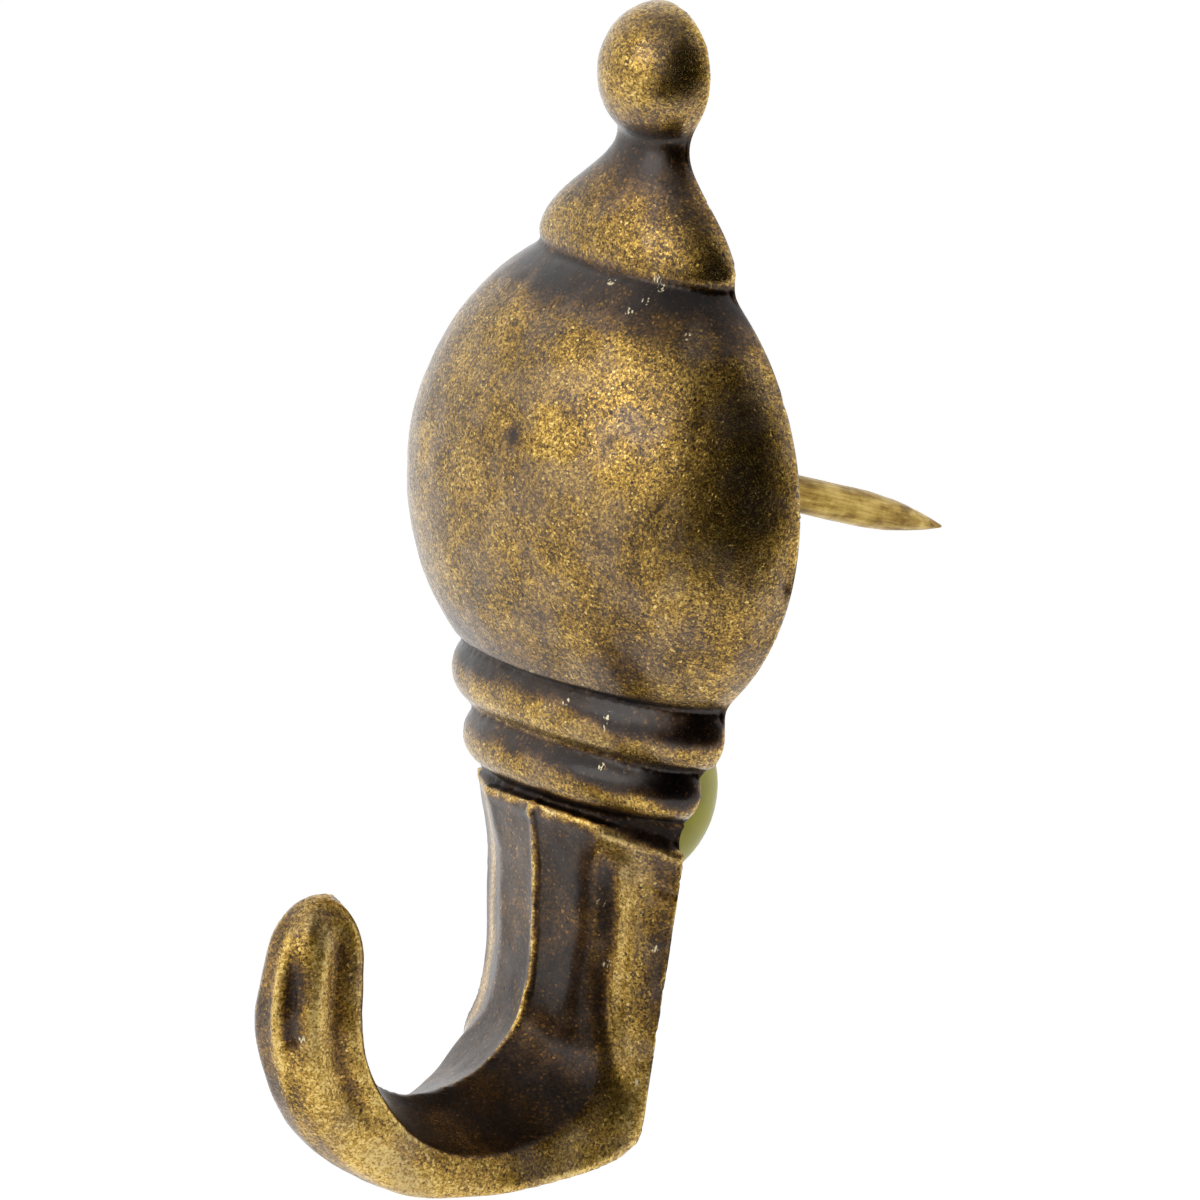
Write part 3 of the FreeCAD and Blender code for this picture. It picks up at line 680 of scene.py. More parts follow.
# %% Follow the photograph's outline on the far side
x, y, z = points.T
slimmer = (0.125 * bump_at(z, -22.6, 3.4) + 0.05 * bump_at(z, -18.5, 1.5)
           - 0.09 * bump_at(z, -26.6, 1.1))
far_side = on_bar * smooth_step(-x, 0, 0.8)
wider_tip = (0.37 * far_side * smooth_step(0.8 - height, 0, 0.4) * smooth_step(-y, 11.5, 13.5)
             * bump_at(z, -24.2, 2.2))
wider_near = (0.14 * on_bar * smooth_step(x, 2.5, 5.0) * smooth_step(y, -6, -2)
              * smooth_step(z, -29.5, -27.5))
points[:, 0] = x * (1 - slimmer * far_side * smooth_step(y, -8, -5)) - wider_tip + wider_near
corner = on_bar * smooth_step(-points[:, 0], 3.5, 7.0) * bump_at(points[:, 2], -15.9, 0.9)
points[:, 2] += 0.55 * corner
points[:, 0] -= 0.35 * corner
low_corner = on_bar * smooth_step(points[:, 0], 1.5, 6.0) * bump_at(points[:, 2], -15.95, 0.6)
points[:, 2] -= 0.35 * low_corner
write_points(skin, points)
print("far side: slimmer by", round(float((slimmer * far_side).max()) * 100), "percent at most, "
      "fuller by", round(float(wider_tip.max()), 2), "mm at most")

# %% [markdown]
# ## Where the finish is dark and where it is rubbed
#
# Antique brass is made dark all over and then rubbed: raised parts come out gold, and the dark
# stays in the creases and where the cloth did not press. It could be painted on an image. Here
# the mesh carries five measures, which need no unwrapping and stay with the shape:
#
# - `crease` and `edge` compare each point with the mean of its surroundings: a point that lies
#   lower than they do is in a crease, and one that lies higher is on an edge.
# - `patina_and_painted_shade` says where, on this casting, the dark coat was left; it also carries painted
#   shade under the bell's lip, a painted shadow beside the tip's ridge and a painted reflection of a dark
#   ceiling on the upper half of each bead.
# - `painted_glints` marks a few painted glints: bright spots painted into the colour where highlights fall.
#   `grit` marks where the skin is rougher.

# %% Crease and edge
def bulge(points, normals, rounds):
    """How far the surroundings' mean lies above each point along its normal, in millimetres."""
    around = relaxed(points, pairs, counts, rounds)
    return ((around - points) * normals).sum(axis=1)


normals = read_normals(skin)
fine = bulge(points, normals, 8)
broad = bulge(points, normals, 90)
crease = smooth_step(fine, 0.012, 0.075) * 0.5 + smooth_step(broad, 0.05, 0.42) * 0.75
edge = smooth_step(-fine, 0.014, 0.075) + 0.4 * smooth_step(-broad, 0.16, 0.5)
for name, values in (("crease", crease), ("edge", edge)):
    print(name, "at its middle, 90 and 99 percent:", np.quantile(values, [0.5, 0.9, 0.99]).round(2))

# %% Dark on the upper forms and in the grooves
x, y, z = points.T
from_edge = abs(x) - edge_x
ragged = 0.35 * cloud(points, 1.1, 11) + 0.2 * cloud(points, 0.45, 12)
# Dark on the dome under the bell's lip: patina, with painted shade where the lip overhangs.
under_bell_patina_and_painted_shade = smooth_step(z + ragged, 5.8, 8.2) * smooth_step(-z, -8.9, -8.2)
neck = smooth_step(z + 1.2 * ragged, 10.3, 14.0) * smooth_step(-z, -15.0, -14.0)
# Dark on the upper half of each bead: patina near the groove above it, and a painted reflection of a dark
# ceiling, which reaches lower on the right.
lower = 0.75 * smooth_step(x, 1.0, 6.0)
bead_1_patina_and_painted_reflection = smooth_step(z + 0.55 * ragged + lower, -10.65, -9.95) * smooth_step(-z, 9.15, 9.4)
bead_2_patina_and_painted_reflection = smooth_step(z + 0.55 * ragged + lower, -13.35, -12.65) * smooth_step(-z, 12.0, 12.3)
flange_top = -15.82 - 0.278 * y - 0.35 * smooth_step(x, 1.5, 6.0) + 0.5 * smooth_step(-x, 3.5, 7.0)
groove = smooth_step(-z, 14.4, 14.65) * smooth_step(z - flange_top, -0.14, 0.04)
print("dark of the grooves on", int((np.maximum(bead_1_patina_and_painted_reflection, bead_2_patina_and_painted_reflection) > 0.5).sum()), "points")

# %% Dark on the shank and the tip
near_shoulder = smooth_step(x, 0, 1) * smooth_step(z, -26.5, -24.0) * smooth_step(x - edge_x, -0.9, -0.3)
trough = (inside * (0.68 + 0.12 * smooth_step(-y, 2.5, 6.0) * smooth_step(-z, 23, 26))
          * (1 + 0.08 * near_shoulder))
far_face = 0.68 * on_bar * (1 - on_tip) * smooth_step(-x - edge_x, -0.6, -0.1) * smooth_step(-z, 15.9, 16.6)
shoulder_dark = 0.85 * shank_span * bump_at(from_edge, 0.25, 0.42)
rim_dull = (0.28 * on_bar * (1 - on_tip) * smooth_step(abs(x), 5.0, 5.6)
            * (1 + cloud(points, 0.8, 13)) * smooth_step(z, -25, -22))
dent_span = smooth_step(z + ragged, -25.0, -24.0) * smooth_step(-z - ragged, 20.2, 21.6)
# Dark in the tip's dent: patina in the hollow, with a painted shadow of the parting ridge along its sharp edge
# next to the ridge.
dent_patina_and_painted_shadow = (outside * smooth_step(x, 0.22, 0.42) * (1 - 0.4 * smooth_step(x, 0.7, 1.4))
             * smooth_step(1.8 - x, 0, 0.6) * (0.3 * tip_span + 0.7 * dent_span))
side_streak = 0.72 * on_tip * bump_at(height, 0.46, 0.13) * smooth_step(abs(x), 1.0, 1.6) * tip_span
on_hook = on_bar * smooth_step(-y, 5.0, 8.0)
far_tip = 0.3 * on_hook * smooth_step(-x, 0.15, 0.5) * smooth_step(0.8 - height, 0, 0.2)
# Each smudge: its middle, how its distances are scaled in x, y and z, its size and its strength.
SMUDGES = (((1.95, -14.3, -26.0), (1, 1, 0.55), 0.6, 1.0), ((2.2, -13.4, -27.1), (1, 1, 0.7), 0.5, 1.0),
           ((1.0, -15.2, -18.5), (1, 1, 1), 0.6, 0.8), ((5.0, -4.2, -7.8), (0.8, 1, 0.8), 0.8, 0.8),
           ((-0.25, -6.3, 1.2), (1, 1, 1), 0.5, 1.0))
streaky = 0.7 + 0.9 * cloud(points, 0.3, 15)
smudge = 0.8 * streaky * np.maximum.reduce([
    strength * bump_at(np.linalg.norm((points - spot) * scale, axis=1), 0, size)
    for spot, scale, size, strength in SMUDGES])
dome_foot = 0.25 * smooth_step(-z, 7.0, 8.7) * smooth_step(z, -9.4, -9.1) * smooth_step(3.5 - x, 0, 3)
olive_band = 0.25 * on_hook * bump_at(height, 0.45, 0.16) * smooth_step(x, 0.3, 1.2) * (1 + 1.5 * ragged)
# All dark marks together: patina, with painted shade under the bell, a painted shadow by the tip's ridge and
# painted reflections on the beads.
patina_and_painted_shade = np.maximum.reduce([under_bell_patina_and_painted_shade, neck, bead_1_patina_and_painted_reflection, bead_2_patina_and_painted_reflection, groove, trough, 0.74 * dent_patina_and_painted_shadow,
                            side_streak, shoulder_dark, rim_dull, far_face, far_tip, smudge, dome_foot,
                            olive_band, crease])
print("dark on the bar:", int((patina_and_painted_shade[on_bar] > 0.5).sum()), "of", int(on_bar.sum()), "points")

# %% Gold where the cloth rubbed, with a painted floor reflection on the lower beads, and both together
# Gold on the lower half of each bead: rubbed wear and a painted reflection of the pale floor.
bead_wear_and_painted_reflection = (bump_at(z, -11.55, 0.6) + bump_at(z, -13.95, 0.5)) * (1 - 0.7 * smooth_step(x, 4.5, 7.0))
flange_gold = on_bar * bump_at(z - flange_top, -0.2, 0.15) * (0.65 + 0.7 * cloud(points, 0.6, 14))
tip_gold = on_tip * (0.3 + 1.1 * crest_line) * (1 - dent_patina_and_painted_shadow) * smooth_step(x, -0.3, 0.2)
low_gold = (on_hook * (0.3 + 0.7 * bump_at(height, 0.14, 0.15)) * smooth_step(x, 0.6, 1.4)
            * smooth_step(-z, 25, 27))
strip_gold = (0.8 * on_bar * (1 - on_hook) * bump_at(from_edge, 1.1, 0.6)
              * smooth_step(-z, 15.9, 16.6))
ball_gold = 0.25 * smooth_step(z, 14.6, 15.6)
ridge_gold = outside * bump_at(x, 0.06, 0.22) * bump_at(z, -22.9, 3.2)
edge = edge * (1 - far_face) + 0.35 * bead_wear_and_painted_reflection + flange_gold + tip_gold + ridge_gold + low_gold
edge = edge + strip_gold + ball_gold
patina_and_painted_shade = np.clip(patina_and_painted_shade * (1 + 0.5 * ragged) - 0.75 * edge.clip(0, 1), 0, 1)
patina_and_painted_shade = np.where(on_back, 0.5 + 0.3 * cloud(points, 3.0, 16), patina_and_painted_shade)
edge = np.where(on_back, 0.0, edge)
print("patina covers", round(float(patina_and_painted_shade.mean()) * 100), "percent")

# %% Painted glints: a few bright spots painted into the colour
PAINTED_GLINT_SPOTS = np.array([
    (1.28, -2.99, 8.09), (3.23, -2.22, 8.62), (3.54, -2.22, 8.23), (3.37, -2.9, 7.7), (2.99, -3.46, 7.2),
    (5.78, -2.65, 6.7), (3.96, -3.18, -10.25), (3.97, -3.2, -10.8), (0.08, -3.99, -9.25), (1.73, -3.52, -10.13),
    (3.57, -2.83, -12.62), (3.17, -1.57, -18.8), (3.39, -1.01, -21.51), (5.46, -0.36, -20.33),
    (5.17, -0.36, -26.33), (1.24, -16.54, -23.92)])
PAINTED_GLINT_SIZE = 0.28
painted_glints = np.maximum.reduce([bump_at(np.linalg.norm(points - spot, axis=1), 0, PAINTED_GLINT_SIZE)
                           for spot in PAINTED_GLINT_SPOTS])
print("chips:", len(PAINTED_GLINT_SPOTS), "on", int((painted_glints > 0.5).sum()), "points")


def add_measure(mesh, name, values):
    """A value for every point, which a material reads by its name."""
    mesh.attributes.new(name, "FLOAT", "POINT").data.foreach_set("value", values.astype(np.float32))


# %% Put the five measures on the mesh
# The crease measure, with the groove and the deep inside of the J added, only thins the lacquer coat below:
# painted shade, less reflection in recesses.
crease = np.maximum.reduce([crease, 0.9 * groove, 0.6 * inside * near_shoulder,
                            0.6 * inside * smooth_step(-z, 22.5, 24.5)])
grit = (on_bar * (1 - inside) * (0.35 + 0.65 * smooth_step(-y, 3.0, 9.0))
        * (1 - on_hook * smooth_step(-x, 0.15, 0.5)))
for name, values in (("patina_and_painted_shade", patina_and_painted_shade), ("edge", np.clip(edge, 0, 1)),
                     ("crease", np.clip(crease, 0, 1)), ("painted_glints", painted_glints), ("grit", grit)):
    add_measure(skin, name, values)
print("measures:", [measure.name for measure in skin.attributes if measure.data_type == "FLOAT"])

# %% [markdown]
# ## The nail and the bumper
#
# Both are turned parts, so each is a profile of radii and distances carried round an axis. The
# nail is drawn wire with a ground point. The bumper is a soft clear dome with a rolled foot.

# %% Nail
NAIL_RADIUS, NAIL_STRAIGHT, NAIL_OUT, NAIL_POINT = 0.8, 14.6, 20.3, 0.06
NAIL_ROOT_RADIUS, NAIL_ROOT_LENGTH = 1.0, 4.2


def nail_profile():
    """Root, shoulder and straight wire, then a point: one arc that leaves the wire without a bend."""
    point_length, narrowing = NAIL_OUT - NAIL_STRAIGHT, NAIL_RADIUS - NAIL_POINT
    arc = (point_length ** 2 + narrowing ** 2) / (2 * narrowing)
    wire = np.linspace(0.04, NAIL_STRAIGHT, 150)
    root, root_end = NAIL_ROOT_RADIUS, -NAIL_ROOT_LENGTH
    point = np.linspace(NAIL_STRAIGHT, NAIL_OUT, 70)[1:]
    radii = NAIL_RADIUS - arc + np.sqrt(arc ** 2 - (point - NAIL_STRAIGHT) ** 2)
    end = np.array([NAIL_OUT + 0.03, NAIL_OUT + 0.045])
    return (np.concatenate([[0.7, root - 0.05, root, root, root - 0.03, NAIL_RADIUS + 0.03],
                            np.full(len(wire), NAIL_RADIUS), radii, [0.04, 0.015]]),
            np.concatenate([[root_end, root_end, root_end + 0.05, -0.03, 0.0, 0.0], wire, point, end]))


nail = add_object("nail_wire", closed_mesh("nail_wire", turned_rings(*nail_profile(), around=72)))
nail_points = read_points(nail.data)
way = nail_points @ NAIL_WAY
middle = way[:, None] * NAIL_WAY
round_about = nail_points - middle
ground = smooth_step(way, NAIL_STRAIGHT - 1.0, NAIL_STRAIGHT + 1.0)
ripple = 0.006 * cloud(nail_points, 0.8, 21) + 0.012 * ground * cloud(nail_points, 0.6, 22)
size = np.linalg.norm(round_about, axis=1).clip(1e-6)
shown = smooth_step(way, 0.1, 0.4)
nail_points = nail_points + round_about / size[:, None] * (ripple * shown * np.minimum(size / 0.5, 1))[:, None]
write_points(nail.data, nail_points)
print("nail:", len(nail.data.vertices), "points")

# %% Bumper
BUMPER_DROP, BUMPER_RADIUS, BUMPER_WALL, BUMPER_HEIGHT = 14.6, 4.5, 1.6, 6.0


def bumper_profile(steps=40):
    """A foot that is rolled in by 0.15, a short wall, then a quarter ellipse up to the crown."""
    angle = np.linspace(0, math.pi / 2 - 0.015, steps)
    radii = np.concatenate([[0.5, 2.5, 4.25, 4.38, 4.46, 4.5, 4.5], BUMPER_RADIUS * np.cos(angle)])
    rise = np.concatenate([[0.0, 0.0, 0.0, 0.04, 0.12, 0.3, 0.9],
                           BUMPER_WALL + (BUMPER_HEIGHT - BUMPER_WALL) * np.sin(angle)])
    return radii, rise


angle = np.linspace(0, 2 * math.pi, 96, endpoint=False)
radii, rise = bumper_profile()
bumper_rings = np.stack(np.broadcast_arrays(
    radii[:, None] * np.cos(angle), rise[:, None] + 0 * angle,
    radii[:, None] * np.sin(angle) - BUMPER_DROP), axis=-1)
bumper = add_object("bumper_dome", closed_mesh("bumper_dome", bumper_rings))
print("bumper:", len(bumper.data.vertices), "points")

# %% [markdown]
# ## Shader helpers
#
# A material is a tree of nodes. These helpers add one node at a time and join it up, so that each
# finish below reads as a short list of steps.

# %% Nodes
def add_node(tree, kind, settings=None, **values):
    """Adds a node, sets it up, and gives its inputs values or other nodes' outputs by name."""
    node = tree.nodes.new(kind)
    for name, value in (settings or {}).items():
        setattr(node, name, value)
    set_inputs(tree, node, **values)
    return node


def set_inputs(tree, node, **values):
    """Gives a node's inputs their values by name, with _ for each space of the name."""
    for name, value in values.items():
        give(tree, node.inputs[name.replace("_", " ")], value)


def give(tree, socket, value):
    """A value stays on the socket; an output is linked to it."""
    if isinstance(value, bpy.types.NodeSocket):
        tree.links.new(value, socket)
    else:
        socket.default_value = value


def maths(tree, operation, *values, clamp=False):
    """One Math node on one to three values."""
    node = add_node(tree, "ShaderNodeMath", {"operation": operation, "use_clamp": clamp})
    for socket, value in zip(node.inputs, values):
        give(tree, socket, value)
    return node.outputs[0]


def times_plus(tree, value, times, plus, clamp=False):
    """The value times one number plus another."""
    return maths(tree, "MULTIPLY_ADD", value, times, plus, clamp=clamp)


def from_half(tree, value):
    """The value less a half, so that a mask pushes both ways."""
    return maths(tree, "SUBTRACT", value, 0.5)


def object_place(tree):
    """Where a point lies on the object, in metres."""
    return add_node(tree, "ShaderNodeTexCoord").outputs["Object"]


def spread(tree, value, low, high, to_low=0.0, to_high=1.0):
    """Maps low..high softly to another range."""
    return add_node(tree, "ShaderNodeMapRange", {"interpolation_type": "SMOOTHSTEP"}, Value=value,
                    From_Min=low, From_Max=high, To_Min=to_low, To_Max=to_high).outputs["Result"]


def mixed(tree, share, first, second, blend="MIX"):
    """Mixes two colours."""
    node = add_node(tree, "ShaderNodeMix", {"data_type": "RGBA", "blend_type": blend})
    for index, value in ((0, share), (6, first), (7, second)):
        give(tree, node.inputs[index], value)
    return node.outputs[2]


def ramp(tree, value, stops):
    """A colour ramp from a list of (place, (red, green, blue))."""
    node = add_node(tree, "ShaderNodeValToRGB", Fac=value)
    while len(node.color_ramp.elements) < len(stops):
        node.color_ramp.elements.new(1.0)
    for element, (place, colour) in zip(node.color_ramp.elements, stops):
        element.position = place
        element.color = (*colour, 1)
    return node.outputs["Color"]


def measure(tree, name):
    """Reads a value that the mesh carries."""
    return add_node(tree, "ShaderNodeAttribute", {"attribute_name": name}).outputs["Fac"]


def new_finish(name):
    """A material with an empty tree, its surface shader and its output."""
    material = bpy.data.materials.new(name)
    material.use_nodes = True
    shader = material.node_tree.nodes["Principled BSDF"]
    return material, material.node_tree, shader

# %% [markdown]
# ## Grain, as a node group
#
# Cast and drawn brass both show a fine sparkle: grains of 0.15 to 0.25 mm, some bright and some
# dark, under softer clouds a few millimetres across. Two finishes here use it, each with its own
# sizes, so it is a node group with named inputs and outputs.

# %% Metal grain group
def make_grain_group():
    """In: where, grains and clouds per metre. Out: five masks from 0 to 1, and a height."""
    group = bpy.data.node_groups.new("metal grain", "ShaderNodeTree")
    for name, kind in (("Where", "Vector"), ("Grains", "Float"), ("Clouds", "Float")):
        group.interface.new_socket(name=name, in_out="INPUT", socket_type="NodeSocket" + kind)
    for name in ("Grain", "Cloud", "Haze", "Glints", "Flecks", "Height"):
        group.interface.new_socket(name=name, in_out="OUTPUT", socket_type="NodeSocketFloat")
    start = group.nodes.new("NodeGroupInput")
    end = group.nodes.new("NodeGroupOutput")
    where, grains, clouds = start.outputs["Where"], start.outputs["Grains"], start.outputs["Clouds"]
    cells = add_node(group, "ShaderNodeTexVoronoi", Vector=where, Scale=grains)
    cell_tone = add_node(group, "ShaderNodeSeparateColor", Color=cells.outputs["Color"]).outputs
    fine_noise = add_node(group, "ShaderNodeTexNoise", Vector=where, Detail=3.0, Roughness=0.7,
                          Scale=maths(group, "MULTIPLY", grains, 1.3)).outputs["Fac"]
    soft_noise = add_node(group, "ShaderNodeTexNoise", Vector=where, Scale=clouds, Detail=4.0,
                          Roughness=0.62)
    other_noise = add_node(group, "ShaderNodeSeparateColor", Color=soft_noise.outputs["Color"]).outputs[2]
    pits = add_node(group, "ShaderNodeTexVoronoi", Vector=where, Scale=maths(group, "MULTIPLY", grains, 0.24))
    pit_size = spread(group, pits.outputs["Distance"], 0.08, 0.24, 1.0, 0.0)
    pit_tone = add_node(group, "ShaderNodeSeparateColor", Color=pits.outputs["Color"]).outputs[0]
    half_cell = maths(group, "MULTIPLY", cell_tone[0], 0.5)
    set_inputs(
        group, end,
        Grain=times_plus(group, spread(group, fine_noise, 0.28, 0.72), 0.5, half_cell),
        Cloud=spread(group, soft_noise.outputs["Fac"], 0.3, 0.7),
        Haze=spread(group, other_noise, 0.42, 0.64),
        Glints=spread(group, cell_tone[1], 0.92, 0.97),
        Flecks=maths(group, "MULTIPLY", pit_size, spread(group, pit_tone, 0.78, 0.84)),
        Height=times_plus(group, cell_tone[0], 0.35, maths(group, "SUBTRACT", fine_noise, pit_size)))
    return group


grain_group = make_grain_group()


def grain(tree, grains, clouds):
    """Places the grain group on Object coordinates, which are metres here."""
    node = tree.nodes.new("ShaderNodeGroup")
    node.node_tree = grain_group
    set_inputs(tree, node, Where=object_place(tree), Grains=grains, Clouds=clouds)
    return node.outputs


print("group outputs:", [socket.name for socket in grain_group.nodes["Group Output"].inputs][:4])

# %% [markdown]
# ## Aged brass
#
# One number runs from black-brown to bright gold: it starts from the rubbed edges and the dark
# coat, which also carry some painted shade and painted reflections, and the grain and the clouds push
# it up and down. A ramp turns it into colour, and the same number sets the roughness, because rubbed
# metal is smoother. A clear lacquer lies over it all.

# %% Aged brass
brass, tree, shader = new_finish("aged_brass_finish")
sparkle = grain(tree, 9500.0, 420.0)
patina_and_painted_shade_here, edge_here, grit_here = [measure(tree, name) for name in ("patina_and_painted_shade", "edge", "grit")]
tone = maths(tree, "ADD", maths(tree, "MULTIPLY", from_half(tree, sparkle["Grain"]),
                                times_plus(tree, patina_and_painted_shade_here, -0.55, 0.76)), 0.535)
# Glints lift the tone of a few random grains: painted glints.
for value, weight in ((from_half(tree, sparkle["Cloud"]), 0.2), (edge_here, 0.3),
                      (patina_and_painted_shade_here, -0.46), (sparkle["Glints"], 0.22)):
    tone = times_plus(tree, value, weight, tone)
tone = times_plus(tree, sparkle["Flecks"], -0.3, tone, clamp=True)
gold = ramp(tree, tone, [
    (0.0, (0.008, 0.005, 0.003)), (0.2, (0.038, 0.022, 0.008)), (0.42, (0.132, 0.073, 0.015)),
    (0.62, (0.36, 0.206, 0.034)), (0.82, (0.69, 0.432, 0.078)), (1.0, (0.96, 0.72, 0.26))])
grey_violet = mixed(tree, maths(tree, "MULTIPLY", sparkle["Haze"], 0.32), gold, (0.2, 0.16, 0.155, 1))
plum = mixed(tree, 0.8, gold, (1.0, 0.78, 0.86, 1), "MULTIPLY")
colour = mixed(tree, patina_and_painted_shade_here, grey_violet, plum)
# In a few short streaks the colour turns pale gold and less metallic: painted glints that stay bright in any
# light.
streak_place = add_node(tree, "ShaderNodeMapping", Vector=object_place(tree), Scale=(9000, 9000, 3200))
painted_glint_streaks = add_node(tree, "ShaderNodeTexNoise", Vector=streak_place.outputs["Vector"], Scale=1.0,
                   Detail=1.0)
painted_glint = maths(tree, "MULTIPLY", spread(tree, measure(tree, "painted_glints"), 0.5, 0.7),
             spread(tree, painted_glint_streaks.outputs["Fac"], 0.53, 0.6))
coat = times_plus(tree, grit_here, -0.25, times_plus(tree, patina_and_painted_shade_here, 0.35, 0.6))
relief = add_node(tree, "ShaderNodeBump", Height=sparkle["Height"], Strength=0.5, Distance=0.00003)
set_inputs(
    tree, shader,
    Base_Color=mixed(tree, painted_glint, colour, (0.95, 0.82, 0.52, 1)),
    Metallic=times_plus(tree, edge_here, -0.08, times_plus(tree, painted_glint, -0.4, 1.0)),
    Roughness=times_plus(tree, grit_here, 0.26, spread(tree, tone, 0.1, 0.85, 0.4, 0.2)),
    # A thinner coat in creases: painted shade.
    Coat_Weight=times_plus(tree, measure(tree, "crease"), -0.75, coat, clamp=True),
    Coat_Roughness=0.22,
    Normal=relief.outputs["Normal"])
print("aged brass:", len(tree.nodes), "nodes")

# %% [markdown]
# The nail is plated wire. Drawing it through a die leaves fine lines along it, so its noise is
# stretched fifteen times along the nail. `TEXTURE` mapping turns the axes before it scales them,
# so the lines follow the nail's slope.

# %% Nail brass
nail_finish, tree, shader = new_finish("nail_brass_finish")
sparkle = grain(tree, 3500.0, 900.0)
turned_place = add_node(tree, "ShaderNodeMapping", {"vector_type": "TEXTURE"}, Vector=object_place(tree),
                        Rotation=(-NAIL_DOWN, 0, 0), Scale=(0.0002, 0.003, 0.0002))
lines_drawn = add_node(tree, "ShaderNodeTexNoise", Vector=turned_place.outputs["Vector"], Scale=1.0,
                       Detail=4.0, Roughness=0.7).outputs["Fac"]
tone = times_plus(tree, from_half(tree, lines_drawn), 1.3, 0.66)
tone = times_plus(tree, from_half(tree, sparkle["Cloud"]), 0.35, tone)
tone = times_plus(tree, sparkle["Flecks"], -0.4, tone, clamp=True)
relief = add_node(tree, "ShaderNodeBump", Height=lines_drawn, Strength=0.4, Distance=0.00005)
set_inputs(
    tree, shader,
    Base_Color=ramp(tree, tone, [(0.0, (0.05, 0.025, 0.01)), (0.35, (0.19, 0.107, 0.022)),
                                 (0.62, (0.39, 0.255, 0.058)), (1.0, (0.68, 0.49, 0.155))]),
    Metallic=1.0,
    Roughness=spread(tree, tone, 0.0, 1.0, 0.5, 0.25),
    Normal=relief.outputs["Normal"])
print("nail brass:", len(tree.nodes), "nodes")

# %% [markdown]
# The bumper is a soft, cloudy plastic: light enters it and comes out again nearby, which
# subsurface scattering shows without the noise of a clear glass.

# %% Soft bumper
soft_finish, tree, shader = new_finish("soft_bumper_finish")
haze = add_node(tree, "ShaderNodeTexNoise", Vector=object_place(tree), Scale=900.0,
                Detail=3.0).outputs["Fac"]
set_inputs(
    tree, shader,
    Base_Color=ramp(tree, haze, [(0.3, (0.42, 0.38, 0.012)), (0.7, (0.5, 0.46, 0.02))]),
    Roughness=spread(tree, haze, 0.3, 0.7, 0.3, 0.42),
    Subsurface_Weight=0.5,
    Subsurface_Radius=(0.0015, 0.0015, 0.0006),
    Subsurface_Scale=1.0,
    Transmission_Weight=0.05,
    Specular_IOR_Level=0.3)
print("bumper finish:", len(tree.nodes), "nodes")

# %% [markdown]
# ## Studio
#
# The hook was photographed in white surroundings with something dark to the right of it and
# overhead, which is what draws the soft dark patches on the polished forms. A light tent could be
# modelled for it. A white world with three soft dark lobes does the same and costs no mesh.
# The floor is a disc 60 mm below. It reaches mostly away from the camera, so that the forms mirror
# little of it, and the camera sees both floor and world as white.

# %% Floor and world
floor = add_object("floor", bpy.data.meshes.new("floor"))
FLOOR_Z, FLOOR_RADIUS, FLOOR_EDGE = -0.06, 0.6, 0.1
angle = np.linspace(0, 2 * math.pi, 128, endpoint=False)
floor_way = math.radians(50)
floor_middle = (FLOOR_EDGE - FLOOR_RADIUS) * np.array([math.sin(floor_way), -math.cos(floor_way)])
floor_ring = np.stack([floor_middle[0] + FLOOR_RADIUS * np.cos(angle),
                       floor_middle[1] + FLOOR_RADIUS * np.sin(angle),
                       np.full(len(angle), FLOOR_Z)], axis=-1)
floor.data.from_pydata(floor_ring, [], [list(range(len(angle)))])
floor_paint, tree, shader = new_finish("floor_paint")
path = add_node(tree, "ShaderNodeLightPath").outputs
seen = maths(tree, "MAXIMUM", path["Is Camera Ray"], path["Is Glossy Ray"])
set_inputs(tree, shader, Base_Color=(0.9, 0.9, 0.9, 1), Roughness=1.0, Specular_IOR_Level=0.0,
           Emission_Color=(1, 1, 1, 1), Emission_Strength=maths(tree, "MULTIPLY", seen, 0.42))
floor.data.materials.append(floor_paint)
print("floor radius", FLOOR_RADIUS, "m")


# %% World with its dark lobes
def direction(azimuth, elevation):
    """A direction from degrees: azimuth 0 is in front of the hook and 90 to its right."""
    turn, lift = math.radians(azimuth), math.radians(elevation)
    return Vector((math.sin(turn) * math.cos(lift), -math.cos(turn) * math.cos(lift), math.sin(lift)))


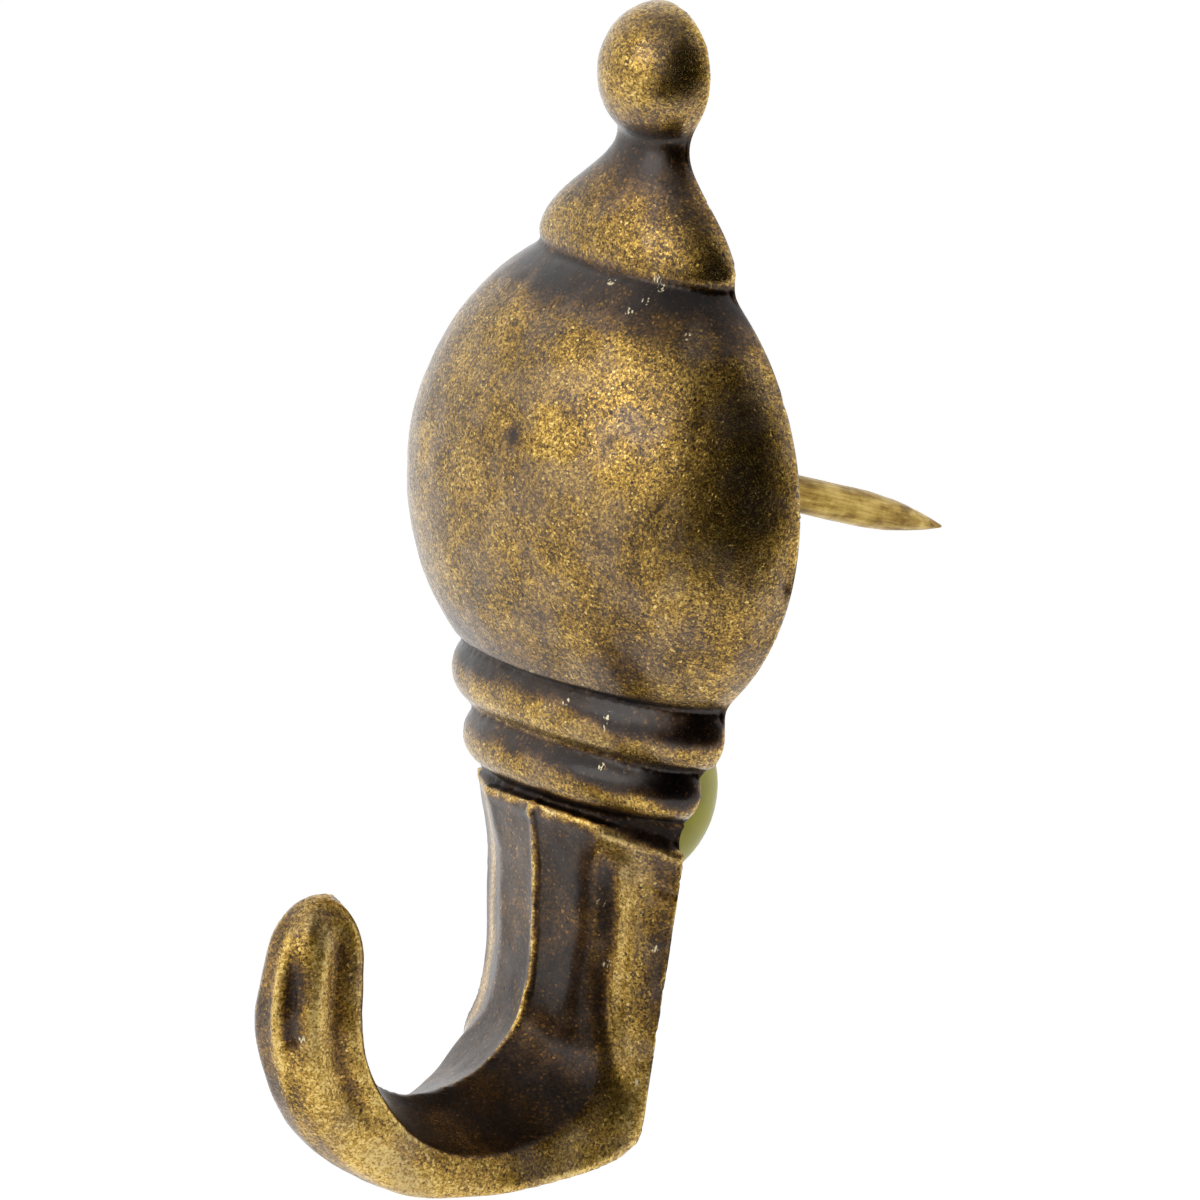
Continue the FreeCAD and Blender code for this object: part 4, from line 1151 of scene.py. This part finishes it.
DARK_ROOM = direction(70, 15)
DARK_STAND = direction(36, -12)
DARK_TOP = direction(45, 82)
world = bpy.data.worlds.new("studio")
bpy.context.scene.world = world
world.use_nodes = True
tree = world.node_tree
way_out = add_node(tree, "ShaderNodeTexCoord").outputs["Generated"]


def lobe(tree, middle, inner_angle, outer_angle):
    """One inside a cone about the direction, nought outside a wider one, soft between."""
    facing = add_node(tree, "ShaderNodeVectorMath", {"operation": "DOT_PRODUCT"})
    give(tree, facing.inputs[0], way_out)
    facing.inputs[1].default_value = middle
    return spread(tree, facing.outputs["Value"], math.cos(math.radians(outer_angle)),
                  math.cos(math.radians(inner_angle)))


light = (1, 1, 1, 1)
for middle, inner_angle, outer_angle, tint in (
        (DARK_TOP, 12, 48, (0.35, 0.35, 0.36, 1)), (DARK_STAND, 16, 34, (0.06, 0.06, 0.06, 1)),
        (DARK_ROOM, 42, 51, (0.01, 0.01, 0.01, 1))):
    light = mixed(tree, lobe(tree, middle, inner_angle, outer_angle), light, tint)
light = mixed(tree, add_node(tree, "ShaderNodeLightPath").outputs["Is Camera Ray"], light, (1, 1, 1, 1))
give(tree, tree.nodes["Background"].inputs["Color"], light)
tree.nodes["Background"].inputs["Strength"].default_value = 1.0

bpy.context.scene.view_settings.view_transform = "Standard"
print("world:", len(tree.nodes), "nodes")

# %% Key light
lamp_data = bpy.data.lights.new("key", "AREA")
lamp_data.shape = "DISK"
lamp_data.size = 0.5
lamp_data.energy = 0.8
lamp = bpy.data.objects.new("key", lamp_data)
bpy.context.scene.collection.objects.link(lamp)
lamp.location = direction(-10, 22) * 0.8
lamp.rotation_mode = "QUATERNION"
lamp.rotation_quaternion = (-Vector(lamp.location)).to_track_quat("-Z", "Y")
print("key light at", [round(spot, 2) for spot in lamp.location], "m")

# %% Place the pieces
for piece, node_name, slot_name, finish in (
        (body, "hook_body", "aged_brass", brass),
        (nail, "nail_pin", "nail_brass", nail_finish),
        (bumper, "wall_bumper", "soft_bumper", soft_finish)):
    piece.data.shade_smooth()
    piece.data.materials.clear()
    piece.data.materials.append(finish)
    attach(piece, "root")
    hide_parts(node_name)
